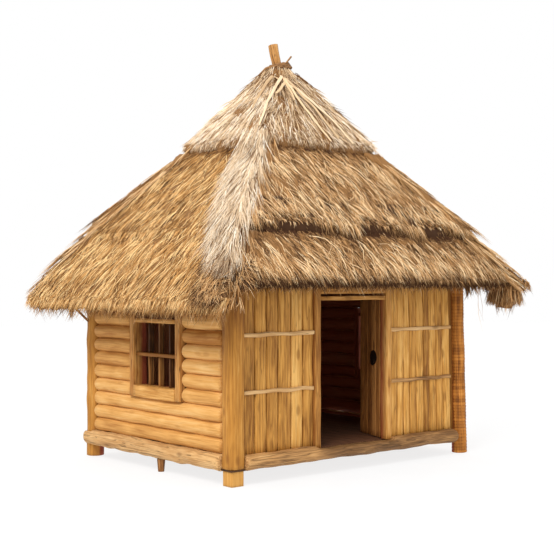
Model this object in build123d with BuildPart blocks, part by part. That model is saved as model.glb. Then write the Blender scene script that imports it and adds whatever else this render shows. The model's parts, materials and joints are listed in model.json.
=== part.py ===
"""A thatched hut: corner posts, log side walls with barred windows, a plank front with a double door
and a hipped roof of thatch in three courses. Millimetres. The origin is on the ground under the apex,
+X runs along the front wall to the right, +Y goes from the front to the rear and +Z is up."""

import os
from math import cos, hypot, radians, sin, sqrt

from build123d import *

os.makedirs("parts", exist_ok=True)

# Plan: distance between post centres, and how far the eave corners reach past the post lines
post_span_x = 3800
post_span_y = 2900
eave_reach_x = 650
eave_reach_y = 650

# Fits
seat_gap = 0.3
cut_overrun = 60
mitre_gap = 2
side_clearance = 5
quarter_turn = 90

# Corner posts
shaft_width = 213
shaft_corner = 70
foot_width = 170
foot_corner = 12
foot_height = 178
neck_width = 158
neck_height = 12
right_post_foot_radius = 100
right_post_top_radius = 86
right_post_lean = 60
rear_post_radius = 110

# Sills and the legs under the side sills
sill_axis_drop = 50
sill_offset = 60
front_sill_radius = 88
side_sill_radius = 100
front_sill_setback = 166
sill_tenon_radius = 30
side_sill_tail = 80
sill_end_rounding = 45
leg_foot_radius = 37
leg_top_radius = 50
leg_setback = 140

# Floor
floor_height = 300
floor_thickness = 35
joist_size = 100
joist_shares = (-0.8, -0.4, 0, 0.4, 0.8)

# Log side walls, counted from the sill; the window takes the courses from the first to the last one
log_radius = 85
log_offset = 20
log_end_rounding = 26
log_courses = 11
window_first_course = 3
window_last_course = 8

# Side windows
window_front_edge = -500
window_rear_edge = 370
stile_width = 90
stile_depth = 196
window_sill_height = 144
window_sill_depth = 212
window_rail_height = 41
window_rail_depth = 120
window_rail_share = 0.466
window_head_height = 48
window_head_depth = 190
window_head_drop = 69

# Plank walls
panel_thickness = 40
right_panel_reveal = 82
closing_strip_lap = 60
closing_strip_thickness = 20
batten_height = 46
batten_thickness = 25
batten_shares = (0.353, 0.667, 0.937)

# Doorway
door_left_edge = -635
door_width = 1100
jamb_width = 90
jamb_depth = 110
lintel_height = 50
lintel_depth = 84
lintel_gap = 27
head_height = 229
head_depth = 90

# Door leaves, which turn on pivot pins behind the jambs
leaf_open_angle = 110.5
leaf_thickness = 40
leaf_floor_gap = 10
leaf_lap = 37
pivot_radius = 24
pivot_inset = 45
pivot_setback = 30
pin_radius = 15
pin_clearance = 1
cleat_width = 110
cleat_depth = 66
cleat_height = 60
cleat_gap = 10
ledge_height = 90
ledge_thickness = 28
ledge_start = 80
ledge_margin = 30
ledge_shares = (0.17, 0.83)
pull_place = 180
pull_height_share = 0.5625
pull_radius = 90
pull_thickness = 8
pull_boss_radius = 22
pull_boss_reach = 24
pull_ring_radius = 46
pull_ring_wire = 9

# Wall plates
plate_width = 120
lower_plate_height = 120

# Roof frame: the plane that the thatch lies on drops this much from the apex to the eave corner
inner_drop = 2850
rafter_radius = 45
jack_share = 1 / 3
jack_head_share = 0.42
side_rafter_foot_share = 0.86
front_rafter_foot_share = 0.79
hip_rafter_foot_share = 0.82
king_post_radius = 80
king_post_low_share = 0.12
king_post_rise = 140
brace_radius = 15
brace_drop = 570
brace_reach_share = 0.92

# Thatch courses: where each starts and ends as a share of the half span, and how thick it lies
cap_opening_share = 0.045
cap_shoulder_share = 0.07
cap_joint_share = 0.33
cap_head_share = 0.375
cap_edge_share = 0.38
middle_joint_share = 0.715
middle_head_share = 0.76
middle_edge_share = 0.765
left_bend_share = 0.9
left_edge_share = 1
left_lip_share = 0.97
right_bend_share = 0.9
right_edge_share = 1
right_lip_share = 0.87
front_bend_share = 0.88
front_edge_share = 0.945
front_lip_share = 0.87
cap_shoulder_thickness = 535
cap_edge_thickness = 434
middle_head_thickness = 330
middle_edge_thickness = 455
left_middle_edge_thickness = 385
lower_head_thickness = 351
left_bend_thickness = 330
left_edge_thickness = 235
right_bend_thickness = 392
right_edge_thickness = 422
front_bend_thickness = 335
front_edge_thickness = 300

# Bundle of straw that hangs under the eave at the front right corner
bundle_drop = 332
bundle_low_inset_x = 120
bundle_low_inset_y = 320
bundle_low_width = 160
bundle_low_length = 200
bundle_low_corner = 60
bundle_high_inset_x = 150
bundle_high_inset_y = 300
bundle_high_width = 290
bundle_high_length = 500
bundle_high_corner = 110

# Straw strips over the hips
hip_strip_width = 170
hip_strip_thickness = 55
middle_strip_shares = (0.39, 0.755)
lower_strip_shares = (0.775, 0.875)

# Finial
stake_radius = 62
stake_height = 560
stake_lean = 112
stake_lean_direction = 139.7
stake_start_share = 0.27
binding_radius = 126
binding_cord = 20

# Places that follow from the sizes above
post_x = post_span_x / 2
post_y = post_span_y / 2
half_x = post_x + eave_reach_x
half_y = post_y + eave_reach_y
wall_x = post_x + log_offset
sill_x = post_x + sill_offset
sill_y = post_y + sill_offset
sill_axis_height = floor_height - sill_axis_drop
log_pitch = 2 * log_radius + seat_gap
first_log_reach = side_sill_radius + log_radius + seat_gap
first_log_level = sill_axis_height + sqrt(first_log_reach**2 - (sill_offset - log_offset) ** 2)
post_height = first_log_level + (log_courses - 1) * log_pitch + log_radius + seat_gap
lower_plate_top = post_height + lower_plate_height
joist_level = floor_height - floor_thickness - joist_size / 2
door_right_edge = door_left_edge + door_width
panel_height = lower_plate_top - floor_height
panel_middle = floor_height + panel_height / 2
head_level = lower_plate_top - head_height
lintel_level = head_level - lintel_gap - lintel_height
pivot_y = -post_y + jamb_depth / 2 + pivot_setback
leaf_bottom = floor_height + leaf_floor_gap
leaf_top = lintel_level + leaf_lap
leaf_height = leaf_top - leaf_bottom
pull_level = leaf_bottom + pull_height_share * leaf_height
leaf_width = door_width / 2 + pivot_inset - side_clearance
cleat_top = leaf_top + cleat_gap + cleat_height

# Roof planes: slope of the inner plane on the side and the front, and the upright share of its normal
side_slope = inner_drop / half_x
front_slope = inner_drop / half_y
side_upright = 1 / hypot(1, side_slope)
front_upright = 1 / hypot(1, front_slope)
plate_edge_x = post_x + plate_width / 2
plate_edge_y = post_y + plate_width / 2
rafter_depth = 2 * (rafter_radius + seat_gap)
brace_low_level = post_height - brace_drop
inner_apex = lower_plate_top + side_slope * plate_edge_x + rafter_depth / side_upright
upper_plate_top = inner_apex - front_slope * plate_edge_y - rafter_depth / front_upright
upper_plate_height = upper_plate_top - lower_plate_top

TURNS = {"right": 0, "rear": 90, "left": 180, "front": 270}
CORNERS = ((1, 1), (-1, 1), (-1, -1), (1, -1))


def save(builder, label):
    """Labels a finished piece and writes it."""
    builder.part.label = label
    export_step(builder.part, f"parts/{label}.step")


def inner_height(share):
    """Height of the plane that the thatch lies on, at a share of the half span."""
    return inner_apex - inner_drop * share


def right_post_x(level):
    """Where the axis of the leaning front right post is at a height."""
    return post_x - right_post_lean * level / post_height


def right_post_radius(level):
    """How thick the front right post is at a height."""
    taper = right_post_foot_radius - right_post_top_radius
    return right_post_foot_radius - taper * level / post_height


def log_level(course):
    """Height of the axis of a wall log, counted from zero at the sill."""
    return first_log_level + course * log_pitch


def batten_level(share):
    """Height of the middle of a wall batten."""
    return floor_height + share * panel_height


def wall_ends(hand):
    """Where the logs of a side wall start and stop between its front and rear posts."""
    front_half = shaft_width / 2 if hand < 0 else right_post_foot_radius + seat_gap
    return -post_y + front_half, post_y - rear_post_radius - seat_gap


def pole_part(start, end, radius):
    """A straight round pole between two points."""
    run = Vector(*end) - Vector(*start)
    with BuildPart() as pole:
        with Locations(Plane(origin=start, z_dir=run)):
            Cylinder(radius, run.length, align=(Align.CENTER, Align.CENTER, Align.MIN))
    return pole.part


def outward_of(turn):
    """The level direction that a roof slope faces."""
    return Vector(cos(radians(turn)), sin(radians(turn)), 0)


def roof_slab(turn, profile, strip_hand=0):
    """One slope of a thatch course, mitred at both hips, or only the strip of it beside one hip."""
    reach, side_reach = (half_x, half_y) if turn % 180 == 0 else (half_y, half_x)
    outward = outward_of(turn)
    along = outward_of(turn + quarter_turn)
    with BuildPart() as slab:
        with BuildSketch(Plane(origin=(0, 0, 0), x_dir=outward, z_dir=-along)):
            with BuildLine():
                Polyline([(share * reach, height) for share, height in profile], close=True)
            make_face()
        extrude(amount=side_reach, both=True)
        for hand in (-1, 1):
            inward = (outward * side_reach - along * (hand * reach)).normalized()
            split(bisect_by=Plane(origin=inward * (mitre_gap / 2), z_dir=inward), keep=Keep.TOP)
            if hand == strip_hand:
                strip_edge = Plane(origin=inward * hip_strip_width, z_dir=inward)
                split(bisect_by=strip_edge, keep=Keep.BOTTOM)
    return slab.part


def thatch_point(share, thickness):
    """A corner of a thatch course, by its share of the half span and its height over the inner plane."""
    return share, inner_height(share) + thickness


def strip_profile(shares, start, end):
    """A strip of even thickness on the straight top of a course that runs between two corners."""
    low, high = [
        start[1] + (end[1] - start[1]) * (share - start[0]) / (end[0] - start[0]) for share in shares
    ]
    return [
        (shares[0], low),
        (shares[1], high),
        (shares[1], high + hip_strip_thickness),
        (shares[0], low + hip_strip_thickness),
    ]


# Front left post: a squared foot, a lashed neck and a rounded shaft
with BuildPart() as front_left_post:
    with BuildSketch():
        with Locations((-post_x, -post_y)):
            RectangleRounded(foot_width, foot_width, foot_corner)
    extrude(amount=foot_height)
    with BuildSketch(Plane.XY.offset(foot_height)):
        with Locations((-post_x, -post_y)):
            RectangleRounded(neck_width, neck_width, foot_corner)
    extrude(amount=neck_height)
    with BuildSketch(Plane.XY.offset(foot_height + neck_height)):
        with Locations((-post_x, -post_y)):
            RectangleRounded(shaft_width, shaft_width, shaft_corner)
    extrude(amount=post_height - foot_height - neck_height)
save(front_left_post, "front_left_post")

# Front right post: tapered, leaning in towards the door
with BuildPart() as front_right_post:
    with BuildSketch():
        with Locations((right_post_x(0), -post_y)):
            Circle(right_post_foot_radius)
    with BuildSketch(Plane.XY.offset(post_height)):
        with Locations((right_post_x(post_height), -post_y)):
            Circle(right_post_top_radius)
    loft()
save(front_right_post, "front_right_post")

for hand, label in ((-1, "rear_left_post"), (1, "rear_right_post")):
    with BuildPart() as rear_post:
        with Locations((hand * post_x, post_y, post_height / 2)):
            Cylinder(rear_post_radius, post_height)
    save(rear_post, label)

# The room that the front sill leaves for the leaning post
with BuildPart() as right_post_room:
    with BuildSketch():
        with Locations((right_post_x(0), -post_y)):
            Circle(right_post_foot_radius + seat_gap)
    with BuildSketch(Plane.XY.offset(post_height)):
        with Locations((right_post_x(post_height), -post_y)):
            Circle(right_post_top_radius + seat_gap)
    loft()

# Front sill: tenoned into the right post, rebated for the planks and flat in the doorway
sill_start = -post_x + shaft_width / 2
sill_end = post_x - front_sill_setback
tenon_start = sill_end - sill_end_rounding - cut_overrun
rebate_edge = -post_y - panel_thickness / 2 - side_clearance
rebate_depth = front_sill_radius + cut_overrun
doorway_start = door_left_edge - jamb_width
doorway_length = door_width + 2 * jamb_width
with BuildPart() as front_sill:
    with Locations(((sill_start + sill_end) / 2, -sill_y, sill_axis_height)):
        Cylinder(front_sill_radius, sill_end - sill_start, rotation=(0, 90, 0))
    fillet(front_sill.edges().filter_by(GeomType.CIRCLE).sort_by(Axis.X)[-1], sill_end_rounding)
    with Locations((tenon_start, -post_y, sill_axis_height)):
        Cylinder(
            sill_tenon_radius,
            right_post_x(sill_axis_height) - tenon_start,
            rotation=(0, 90, 0),
            align=(Align.CENTER, Align.CENTER, Align.MIN),
        )
    add(right_post_room.part, mode=Mode.SUBTRACT)
    with Locations((0, rebate_edge, floor_height)):
        Box(
            post_span_x,
            rebate_depth,
            rebate_depth,
            align=(Align.CENTER, Align.MIN, Align.MIN),
            mode=Mode.SUBTRACT,
        )
    with Locations((doorway_start, -sill_y, floor_height)):
        Box(
            doorway_length,
            2 * rebate_depth,
            rebate_depth,
            align=(Align.MIN, Align.CENTER, Align.MIN),
            mode=Mode.SUBTRACT,
        )
save(front_sill, "front_sill")

# Rear sill: between the rear posts, rebated for the planks
rear_sill_length = post_span_x - 2 * (rear_post_radius + seat_gap)
with BuildPart() as rear_sill:
    with Locations((0, sill_y, sill_axis_height)):
        Cylinder(front_sill_radius, rear_sill_length, rotation=(0, 90, 0))
    with Locations((0, -rebate_edge, floor_height)):
        Box(
            post_span_x,
            rebate_depth,
            rebate_depth,
            align=(Align.CENTER, Align.MAX, Align.MIN),
            mode=Mode.SUBTRACT,
        )
save(rear_sill, "rear_sill")

# Side sills: from the front posts to a rounded tail outside the rear posts
for hand, label in ((-1, "left_sill"), (1, "right_sill")):
    start = wall_ends(hand)[0]
    end = post_y + side_sill_tail
    with BuildPart() as side_sill:
        with Locations((hand * sill_x, (start + end) / 2, sill_axis_height)):
            Cylinder(side_sill_radius, end - start, rotation=(90, 0, 0))
        fillet(side_sill.edges().filter_by(GeomType.CIRCLE).sort_by(Axis.Y)[-1], sill_end_rounding)
        with Locations((hand * post_x, post_y, sill_axis_height)):
            Cylinder(rear_post_radius + seat_gap, 2 * rebate_depth + joist_size, mode=Mode.SUBTRACT)
    save(side_sill, label)

# Short legs under the side sills
leg_height = sill_axis_height - side_sill_radius - seat_gap
with BuildPart() as sill_legs:
    with Locations((-sill_x, -leg_setback, leg_height / 2), (sill_x, -leg_setback, leg_height / 2)):
        Cone(leg_foot_radius, leg_top_radius, leg_height)
save(sill_legs, "sill_legs")

# Floor: joists between the side sills and a deck cut out around the posts and the door pins
deck_half_x = wall_x - log_radius - side_clearance
deck_half_y = sill_y - front_sill_radius - side_clearance
joist_length = 2 * (sill_x - side_sill_radius - seat_gap)
with BuildPart() as floor_joists:
    with Locations(*[(0, share * deck_half_y, joist_level) for share in joist_shares]):
        Box(joist_length, joist_size, joist_size)
save(floor_joists, "floor_joists")

corner_x = deck_half_x - post_x + shaft_width / 2 + side_clearance
corner_y = deck_half_y - post_y + shaft_width / 2 + side_clearance
pivot_places = (door_left_edge - pivot_inset, door_right_edge + pivot_inset)
with BuildPart() as floor_deck:
    with BuildSketch(Plane.XY.offset(floor_height - floor_thickness)):
        Rectangle(2 * deck_half_x, 2 * deck_half_y)
        with Locations(*[(x * deck_half_x, y * deck_half_y) for x, y in CORNERS]):
            Rectangle(2 * corner_x, 2 * corner_y, mode=Mode.SUBTRACT)
        with Locations(*[(x, pivot_y) for x in pivot_places]):
            Circle(pin_radius + pin_clearance, mode=Mode.SUBTRACT)
    extrude(amount=floor_thickness)
save(floor_deck, "floor_deck")

# Side walls: long logs under and over the window, short ones beside it, and the window frame
window_courses = range(window_first_course, window_last_course + 1)
window_foot = log_level(window_first_course - 1) + log_radius + seat_gap
window_top = log_level(window_last_course + 1) - log_radius - seat_gap
window_sill_top = window_foot + window_sill_height
window_head_level = window_top - window_head_drop - window_head_height
window_rail_level = window_sill_top + window_rail_share * (window_head_level - window_sill_top)
window_length = window_rear_edge - window_front_edge
window_middle = (window_rear_edge + window_front_edge) / 2
for hand, side in ((-1, "left"), (1, "right")):
    wall_start, wall_end = wall_ends(hand)
    front_stop = window_front_edge - stile_width
    rear_start = window_rear_edge + stile_width

    with BuildPart() as long_logs:
        for course in range(log_courses):
            if course not in window_courses:
                with Locations((hand * wall_x, (wall_start + wall_end) / 2, log_level(course))):
                    Cylinder(log_radius, wall_end - wall_start, rotation=(90, 0, 0))
        fillet(long_logs.edges().filter_by(GeomType.CIRCLE), log_end_rounding)
    save(long_logs, f"{side}_wall_long_logs")

    with BuildPart() as short_logs:
        for start, end in ((wall_start, front_stop), (rear_start, wall_end)):
            for course in window_courses:
                with Locations((hand * wall_x, (start + end) / 2, log_level(course))):
                    Cylinder(log_radius, end - start, rotation=(90, 0, 0))
        fillet(short_logs.edges().filter_by(GeomType.CIRCLE), log_end_rounding)
    save(short_logs, f"{side}_wall_short_logs")

    stile_places = (window_front_edge - stile_width / 2, window_rear_edge + stile_width / 2)
    with BuildPart() as window_stiles:
        with Locations(*[(hand * wall_x, y, (window_foot + window_top) / 2) for y in stile_places]):
            Box(stile_depth, stile_width, window_top - window_foot)
    save(window_stiles, f"{side}_window_stiles")

    with BuildPart() as window_rails:
        with Locations((hand * wall_x, window_middle, window_foot + window_sill_height / 2)):
            Box(window_sill_depth, window_length, window_sill_height)
        with Locations((hand * wall_x, window_middle, window_rail_level + window_rail_height / 2)):
            Box(window_rail_depth, window_length, window_rail_height)
        with Locations((hand * wall_x, window_middle, window_head_level + window_head_height / 2)):
            Box(window_head_depth, window_length, window_head_height)
    save(window_rails, f"{side}_window_rails")

# Plank walls: two front panels beside the doorway and one rear panel
left_panel_start = -post_x + shaft_width / 2
left_panel_end = door_left_edge - jamb_width
with BuildPart() as front_left_panel:
    with Locations(((left_panel_start + left_panel_end) / 2, -post_y, panel_middle)):
        Box(left_panel_end - left_panel_start, panel_thickness, panel_height)
save(front_left_panel, "front_left_panel")


def right_post_side(level):
    """Where the side of the leaning post is that looks towards the doorway."""
    return right_post_x(level) - right_post_radius(level) - seat_gap


def right_panel_end(level):
    """Where the planks of the front right panel stop, short of the leaning post."""
    return right_post_side(level) - right_panel_reveal


# The right panel and the strip behind it, which closes the gap to the post
right_panel_start = door_right_edge + jamb_width
closing_strip_face = post_y - panel_thickness / 2 - seat_gap
closing_strip_start = right_panel_end(lower_plate_top) - closing_strip_lap
with BuildPart() as front_right_panel:
    with BuildSketch(Plane.XZ.offset(post_y - panel_thickness / 2)):
        with BuildLine():
            Polyline(
                (right_panel_start, floor_height),
                (right_panel_end(floor_height), floor_height),
                (right_panel_end(lower_plate_top), lower_plate_top),
                (right_panel_start, lower_plate_top),
                close=True,
            )
        make_face()
    extrude(amount=panel_thickness)
    with BuildSketch(Plane.XZ.offset(closing_strip_face)):
        with BuildLine():
            Polyline(
                (closing_strip_start, floor_height),
                (right_post_side(floor_height), floor_height),
                (right_post_side(lower_plate_top), lower_plate_top),
                (closing_strip_start, lower_plate_top),
                close=True,
            )
        make_face()
    extrude(amount=-closing_strip_thickness)
save(front_right_panel, "front_right_panel")

rear_panel_length = post_span_x - 2 * (rear_post_radius + seat_gap)
with BuildPart() as rear_panel:
    with Locations((0, post_y, panel_middle)):
        Box(rear_panel_length, panel_thickness, panel_height)
save(rear_panel, "rear_panel")

# Battens across the outside of the planks
batten_y = post_y + panel_thickness / 2 + batten_thickness / 2
with BuildPart() as wall_battens:
    for level in [batten_level(share) for share in batten_shares]:
        batten_spans = (
            (left_panel_start + side_clearance, left_panel_end - side_clearance, -batten_y),
            (right_panel_start + side_clearance, right_panel_end(level) - side_clearance, -batten_y),
            (-rear_panel_length / 2 + side_clearance, rear_panel_length / 2 - side_clearance, batten_y),
        )
        for start, end, y in batten_spans:
            with Locations(((start + end) / 2, y, level)):
                Box(end - start, batten_thickness, batten_height)
save(wall_battens, "wall_battens")

# Doorway
jamb_places = (door_left_edge - jamb_width / 2, door_right_edge + jamb_width / 2)
door_middle = (door_left_edge + door_right_edge) / 2
with BuildPart() as door_jambs:
    with Locations(*[(x, -post_y, panel_middle) for x in jamb_places]):
        Box(jamb_width, jamb_depth, panel_height)
save(door_jambs, "door_jambs")

with BuildPart() as door_lintel:
    with Locations((door_middle, -post_y, lintel_level + lintel_height / 2)):
        Box(door_width, lintel_depth, lintel_height)
save(door_lintel, "door_lintel")

with BuildPart() as door_head:
    with Locations((door_middle, -post_y, (head_level + lower_plate_top) / 2)):
        Box(door_width, head_depth, head_height)
save(door_head, "door_head")

cleat_y = -post_y + jamb_depth / 2 + cleat_depth / 2
with BuildPart() as pivot_cleats:
    with Locations(*[(x, cleat_y, cleat_top - cleat_height / 2) for x in pivot_places]):
        Box(cleat_width, cleat_depth, cleat_height)
    with Locations(*[(x, pivot_y, cleat_top - cleat_height / 2) for x in pivot_places]):
        Cylinder(pin_radius + pin_clearance, cleat_height + cut_overrun, mode=Mode.SUBTRACT)
save(pivot_cleats, "pivot_cleats")

# Door leaves, standing open; a leaf runs along its own X from the pivot, and out of the hut is its face
leaf_middle = leaf_bottom + leaf_height / 2
pin_length = cleat_top - floor_height + floor_thickness
for hand, side in ((-1, "left"), (1, "right")):
    opened = radians(leaf_open_angle)
    pivot_x = pivot_places[0] if hand < 0 else pivot_places[1]
    leaf_plane = Plane(
        origin=(pivot_x, pivot_y, 0), x_dir=(-hand * cos(opened), sin(opened), 0), z_dir=(0, 0, 1)
    )
    with BuildPart(leaf_plane) as door_leaf:
        with Locations((leaf_width / 2, 0, leaf_middle)):
            Box(leaf_width, leaf_thickness, leaf_height)
        with Locations((0, 0, leaf_middle)):
            Cylinder(pivot_radius, leaf_height)
        with Locations((0, 0, cleat_top - pin_length / 2)):
            Cylinder(pin_radius, pin_length)
    save(door_leaf, f"{side}_door_leaf")

    ledge_length = leaf_width - ledge_start - ledge_margin
    ledge_y = -hand * (leaf_thickness + ledge_thickness) / 2
    with BuildPart(leaf_plane) as leaf_ledges:
        for share in ledge_shares:
            with Locations((ledge_start + ledge_length / 2, ledge_y, leaf_bottom + share * leaf_height)):
                Box(ledge_length, ledge_thickness, ledge_height)
    save(leaf_ledges, f"{side}_leaf_ledges")

    face_y = hand * leaf_thickness / 2
    boss_y = face_y + hand * pull_boss_reach / 2
    ring_y = face_y + hand * (pull_boss_reach - pull_ring_wire)
    with BuildPart(leaf_plane) as door_pull:
        with Locations((pull_place, face_y + hand * pull_thickness / 2, pull_level)):
            Cylinder(pull_radius, pull_thickness, rotation=(90, 0, 0))
        with Locations((pull_place, boss_y, pull_level)):
            Cylinder(pull_boss_radius, pull_boss_reach, rotation=(90, 0, 0))
        with Locations((pull_place, ring_y, pull_level - pull_ring_radius)):
            Torus(pull_ring_radius, pull_ring_wire, rotation=(90, 0, 0))
    save(door_pull, f"{side}_door_pull")

# Wall plates: the lower pair on the posts and side walls, the upper pair across them
plate_length_x = 2 * plate_edge_x
plate_length_y = 2 * plate_edge_y
with BuildPart() as lower_plates:
    with Locations(*[(hand * post_x, 0, post_height + lower_plate_height / 2) for hand in (-1, 1)]):
        Box(plate_width, plate_length_y, lower_plate_height)
save(lower_plates, "lower_plates")

with BuildPart() as upper_plates:
    with Locations(*[(0, hand * post_y, lower_plate_top + upper_plate_height / 2) for hand in (-1, 1)]):
        Box(plate_length_x, plate_width, upper_plate_height)
save(upper_plates, "upper_plates")

# King post and the four hip rafters that meet it
king_post_low = inner_height(king_post_low_share)
king_post_top = inner_apex + king_post_rise
with BuildPart() as king_post:
    with Locations((0, 0, (king_post_low + king_post_top) / 2)):
        Cylinder(king_post_radius, king_post_top - king_post_low)
save(king_post, "king_post")

hip_axis_drop = (rafter_radius + seat_gap) / front_upright
hip_poles = []
for x, y in CORNERS:
    foot = (
        x * half_x * hip_rafter_foot_share,
        y * half_y * hip_rafter_foot_share,
        inner_height(hip_rafter_foot_share) - hip_axis_drop,
    )
    level_run = Vector(x * half_x, y * half_y, 0).normalized()
    with BuildPart() as hip_pole:
        add(pole_part((0, 0, inner_apex - hip_axis_drop), foot, rafter_radius))
        split(
            bisect_by=Plane(origin=level_run * (king_post_radius + seat_gap), z_dir=level_run),
            keep=Keep.TOP,
        )
    hip_poles.append(hip_pole.part)
with BuildPart() as hip_rafters:
    add(hip_poles)
save(hip_rafters, "hip_rafters")

# Jack rafters: two on each slope, from beside the hips to the eave
jack_poles = []
for turn in TURNS.values():
    reach, side_reach, upright, foot_share = half_x, half_y, side_upright, side_rafter_foot_share
    if turn % 180 != 0:
        reach, side_reach, upright, foot_share = half_y, half_x, front_upright, front_rafter_foot_share
    axis_drop = (rafter_radius + seat_gap) / upright
    for hand in (-1, 1):
        aside = outward_of(turn + quarter_turn) * (hand * jack_share * side_reach)
        ends = [
            outward_of(turn) * (share * reach) + aside + Vector(0, 0, inner_height(share) - axis_drop)
            for share in (jack_head_share, foot_share)
        ]
        jack_poles.append(pole_part(tuple(ends[0]), tuple(ends[1]), rafter_radius))
with BuildPart() as jack_rafters:
    add(jack_poles)
save(jack_rafters, "jack_rafters")

# A thin brace from the outer side of the rear left post up to the thatch of the left eave
outward = outward_of(TURNS["left"])
brace_start = outward * post_x + Vector(0, post_y, brace_low_level)
brace_rise = Vector(0, 0, inner_height(brace_reach_share) - brace_low_level)
brace_run = outward * (brace_reach_share * half_x - post_x) + brace_rise
post_face = Plane(origin=outward * (post_x + rear_post_radius + seat_gap), z_dir=outward)
thatch_plane = Plane(origin=(0, 0, inner_apex - seat_gap), z_dir=outward * side_slope + Vector(0, 0, 1))
with BuildPart() as eave_brace:
    add(pole_part(tuple(brace_start), tuple(brace_start + brace_run * 2), brace_radius))
    split(bisect_by=post_face, keep=Keep.TOP)
    split(bisect_by=thatch_plane, keep=Keep.BOTTOM)
save(eave_brace, "eave_brace")

# Thatch courses; the head of each one lies under the edge of the one above
cap_top = inner_height(cap_shoulder_share) + cap_shoulder_thickness
cap_profile = [
    thatch_point(cap_opening_share, 0),
    thatch_point(cap_joint_share, 0),
    thatch_point(cap_head_share, middle_head_thickness),
    thatch_point(cap_edge_share, cap_edge_thickness),
    (cap_shoulder_share, cap_top),
    (cap_opening_share, cap_top),
]
middle_head = thatch_point(cap_head_share, middle_head_thickness)
lower_head = thatch_point(middle_head_share, lower_head_thickness)
common_edge = thatch_point(middle_edge_share, middle_edge_thickness)
middle_edges = {
    "right": common_edge,
    "rear": common_edge,
    "left": thatch_point(middle_edge_share, left_middle_edge_thickness),
    "front": common_edge,
}
# Lip, edge and bend of the eave on each side; the right eave is cut off higher than the left one
front_eave = (
    thatch_point(front_lip_share, 0),
    thatch_point(front_edge_share, front_edge_thickness),
    thatch_point(front_bend_share, front_bend_thickness),
)
right_eave = (
    thatch_point(right_lip_share, 0),
    thatch_point(right_edge_share, right_edge_thickness),
    thatch_point(right_bend_share, right_bend_thickness),
)
left_eave = (
    thatch_point(left_lip_share, 0),
    thatch_point(left_edge_share, left_edge_thickness),
    thatch_point(left_bend_share, left_bend_thickness),
)
eaves = {"right": right_eave, "rear": front_eave, "left": left_eave, "front": front_eave}
cap_slabs = []
middle_slabs = []
lower_slabs = []
for side, turn in TURNS.items():
    middle_low = [thatch_point(cap_joint_share, 0), thatch_point(middle_joint_share, 0)]
    middle_profile = [*middle_low, lower_head, middle_edges[side], middle_head]
    lower_profile = [thatch_point(middle_joint_share, 0), *eaves[side], lower_head]
    cap_slabs.append(roof_slab(turn, cap_profile))
    middle_slabs.append(roof_slab(turn, middle_profile))
    lower_slabs.append(roof_slab(turn, lower_profile))
with BuildPart() as cap_thatch:
    add(cap_slabs)
save(cap_thatch, "cap_thatch")

with BuildPart() as middle_thatch:
    add(middle_slabs)
save(middle_thatch, "middle_thatch")

right_lip, right_edge, _ = right_eave
underside_start = Vector(right_lip[0] * half_x, 0, right_lip[1])
underside_run = Vector(right_edge[0] * half_x, 0, right_edge[1]) - underside_start
right_underside = Plane(
    origin=underside_start - Vector(0, 0, seat_gap), z_dir=underside_run.cross(Vector(0, 1, 0))
)
with BuildPart() as corner_bundle:
    with BuildSketch(Plane.XY.offset(right_edge[1] - bundle_drop)):
        with Locations((half_x - bundle_low_inset_x, bundle_low_inset_y - half_y)):
            RectangleRounded(bundle_low_width, bundle_low_length, bundle_low_corner)
    with BuildSketch(Plane.XY.offset(right_edge[1] + cut_overrun)):
        with Locations((half_x - bundle_high_inset_x, bundle_high_inset_y - half_y)):
            RectangleRounded(bundle_high_width, bundle_high_length, bundle_high_corner)
    loft()
    split(bisect_by=right_underside, keep=Keep.BOTTOM)
with BuildPart() as lower_thatch:
    add(lower_slabs)
    add(corner_bundle.part)
save(lower_thatch, "lower_thatch")

# Straw strips over the hips, on the middle and lower courses
hip_slabs = []
for side, turn in TURNS.items():
    *_, bend = eaves[side]
    middle_strip = strip_profile(middle_strip_shares, middle_head, middle_edges[side])
    lower_strip = strip_profile(lower_strip_shares, lower_head, bend)
    for strip in (middle_strip, lower_strip):
        for hand in (-1, 1):
            hip_slabs.append(roof_slab(turn, strip, hand))
with BuildPart() as hip_strips:
    add(hip_slabs)
save(hip_strips, "hip_strips")

# Finial: a leaning stake on the king post, and the cord that ties the cap around it
lean_run = Vector(cos(radians(stake_lean_direction)), sin(radians(stake_lean_direction)), 0) * stake_lean
stake_low = lean_run * -stake_start_share
stake_high = stake_low + lean_run
with BuildPart() as finial_stake:
    with BuildSketch(Plane.XY.offset(king_post_top)):
        with Locations((stake_low.X, stake_low.Y)):
            Circle(stake_radius)
    with BuildSketch(Plane.XY.offset(king_post_top + stake_height)):
        with Locations((stake_high.X, stake_high.Y)):
            Circle(stake_radius)
    loft()
save(finial_stake, "finial_stake")

with BuildPart() as cap_binding:
    with Locations((0, 0, cap_top + binding_cord + seat_gap)):
        Torus(binding_radius, binding_cord)
save(cap_binding, "cap_binding")
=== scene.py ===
"""Looks of the thatched hut: straw, logs, planks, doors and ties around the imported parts, in metres."""

import json
import math
import zlib
from dataclasses import dataclass

import bpy
import numpy as np
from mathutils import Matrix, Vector
from mathutils.bvhtree import BVHTree


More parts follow.
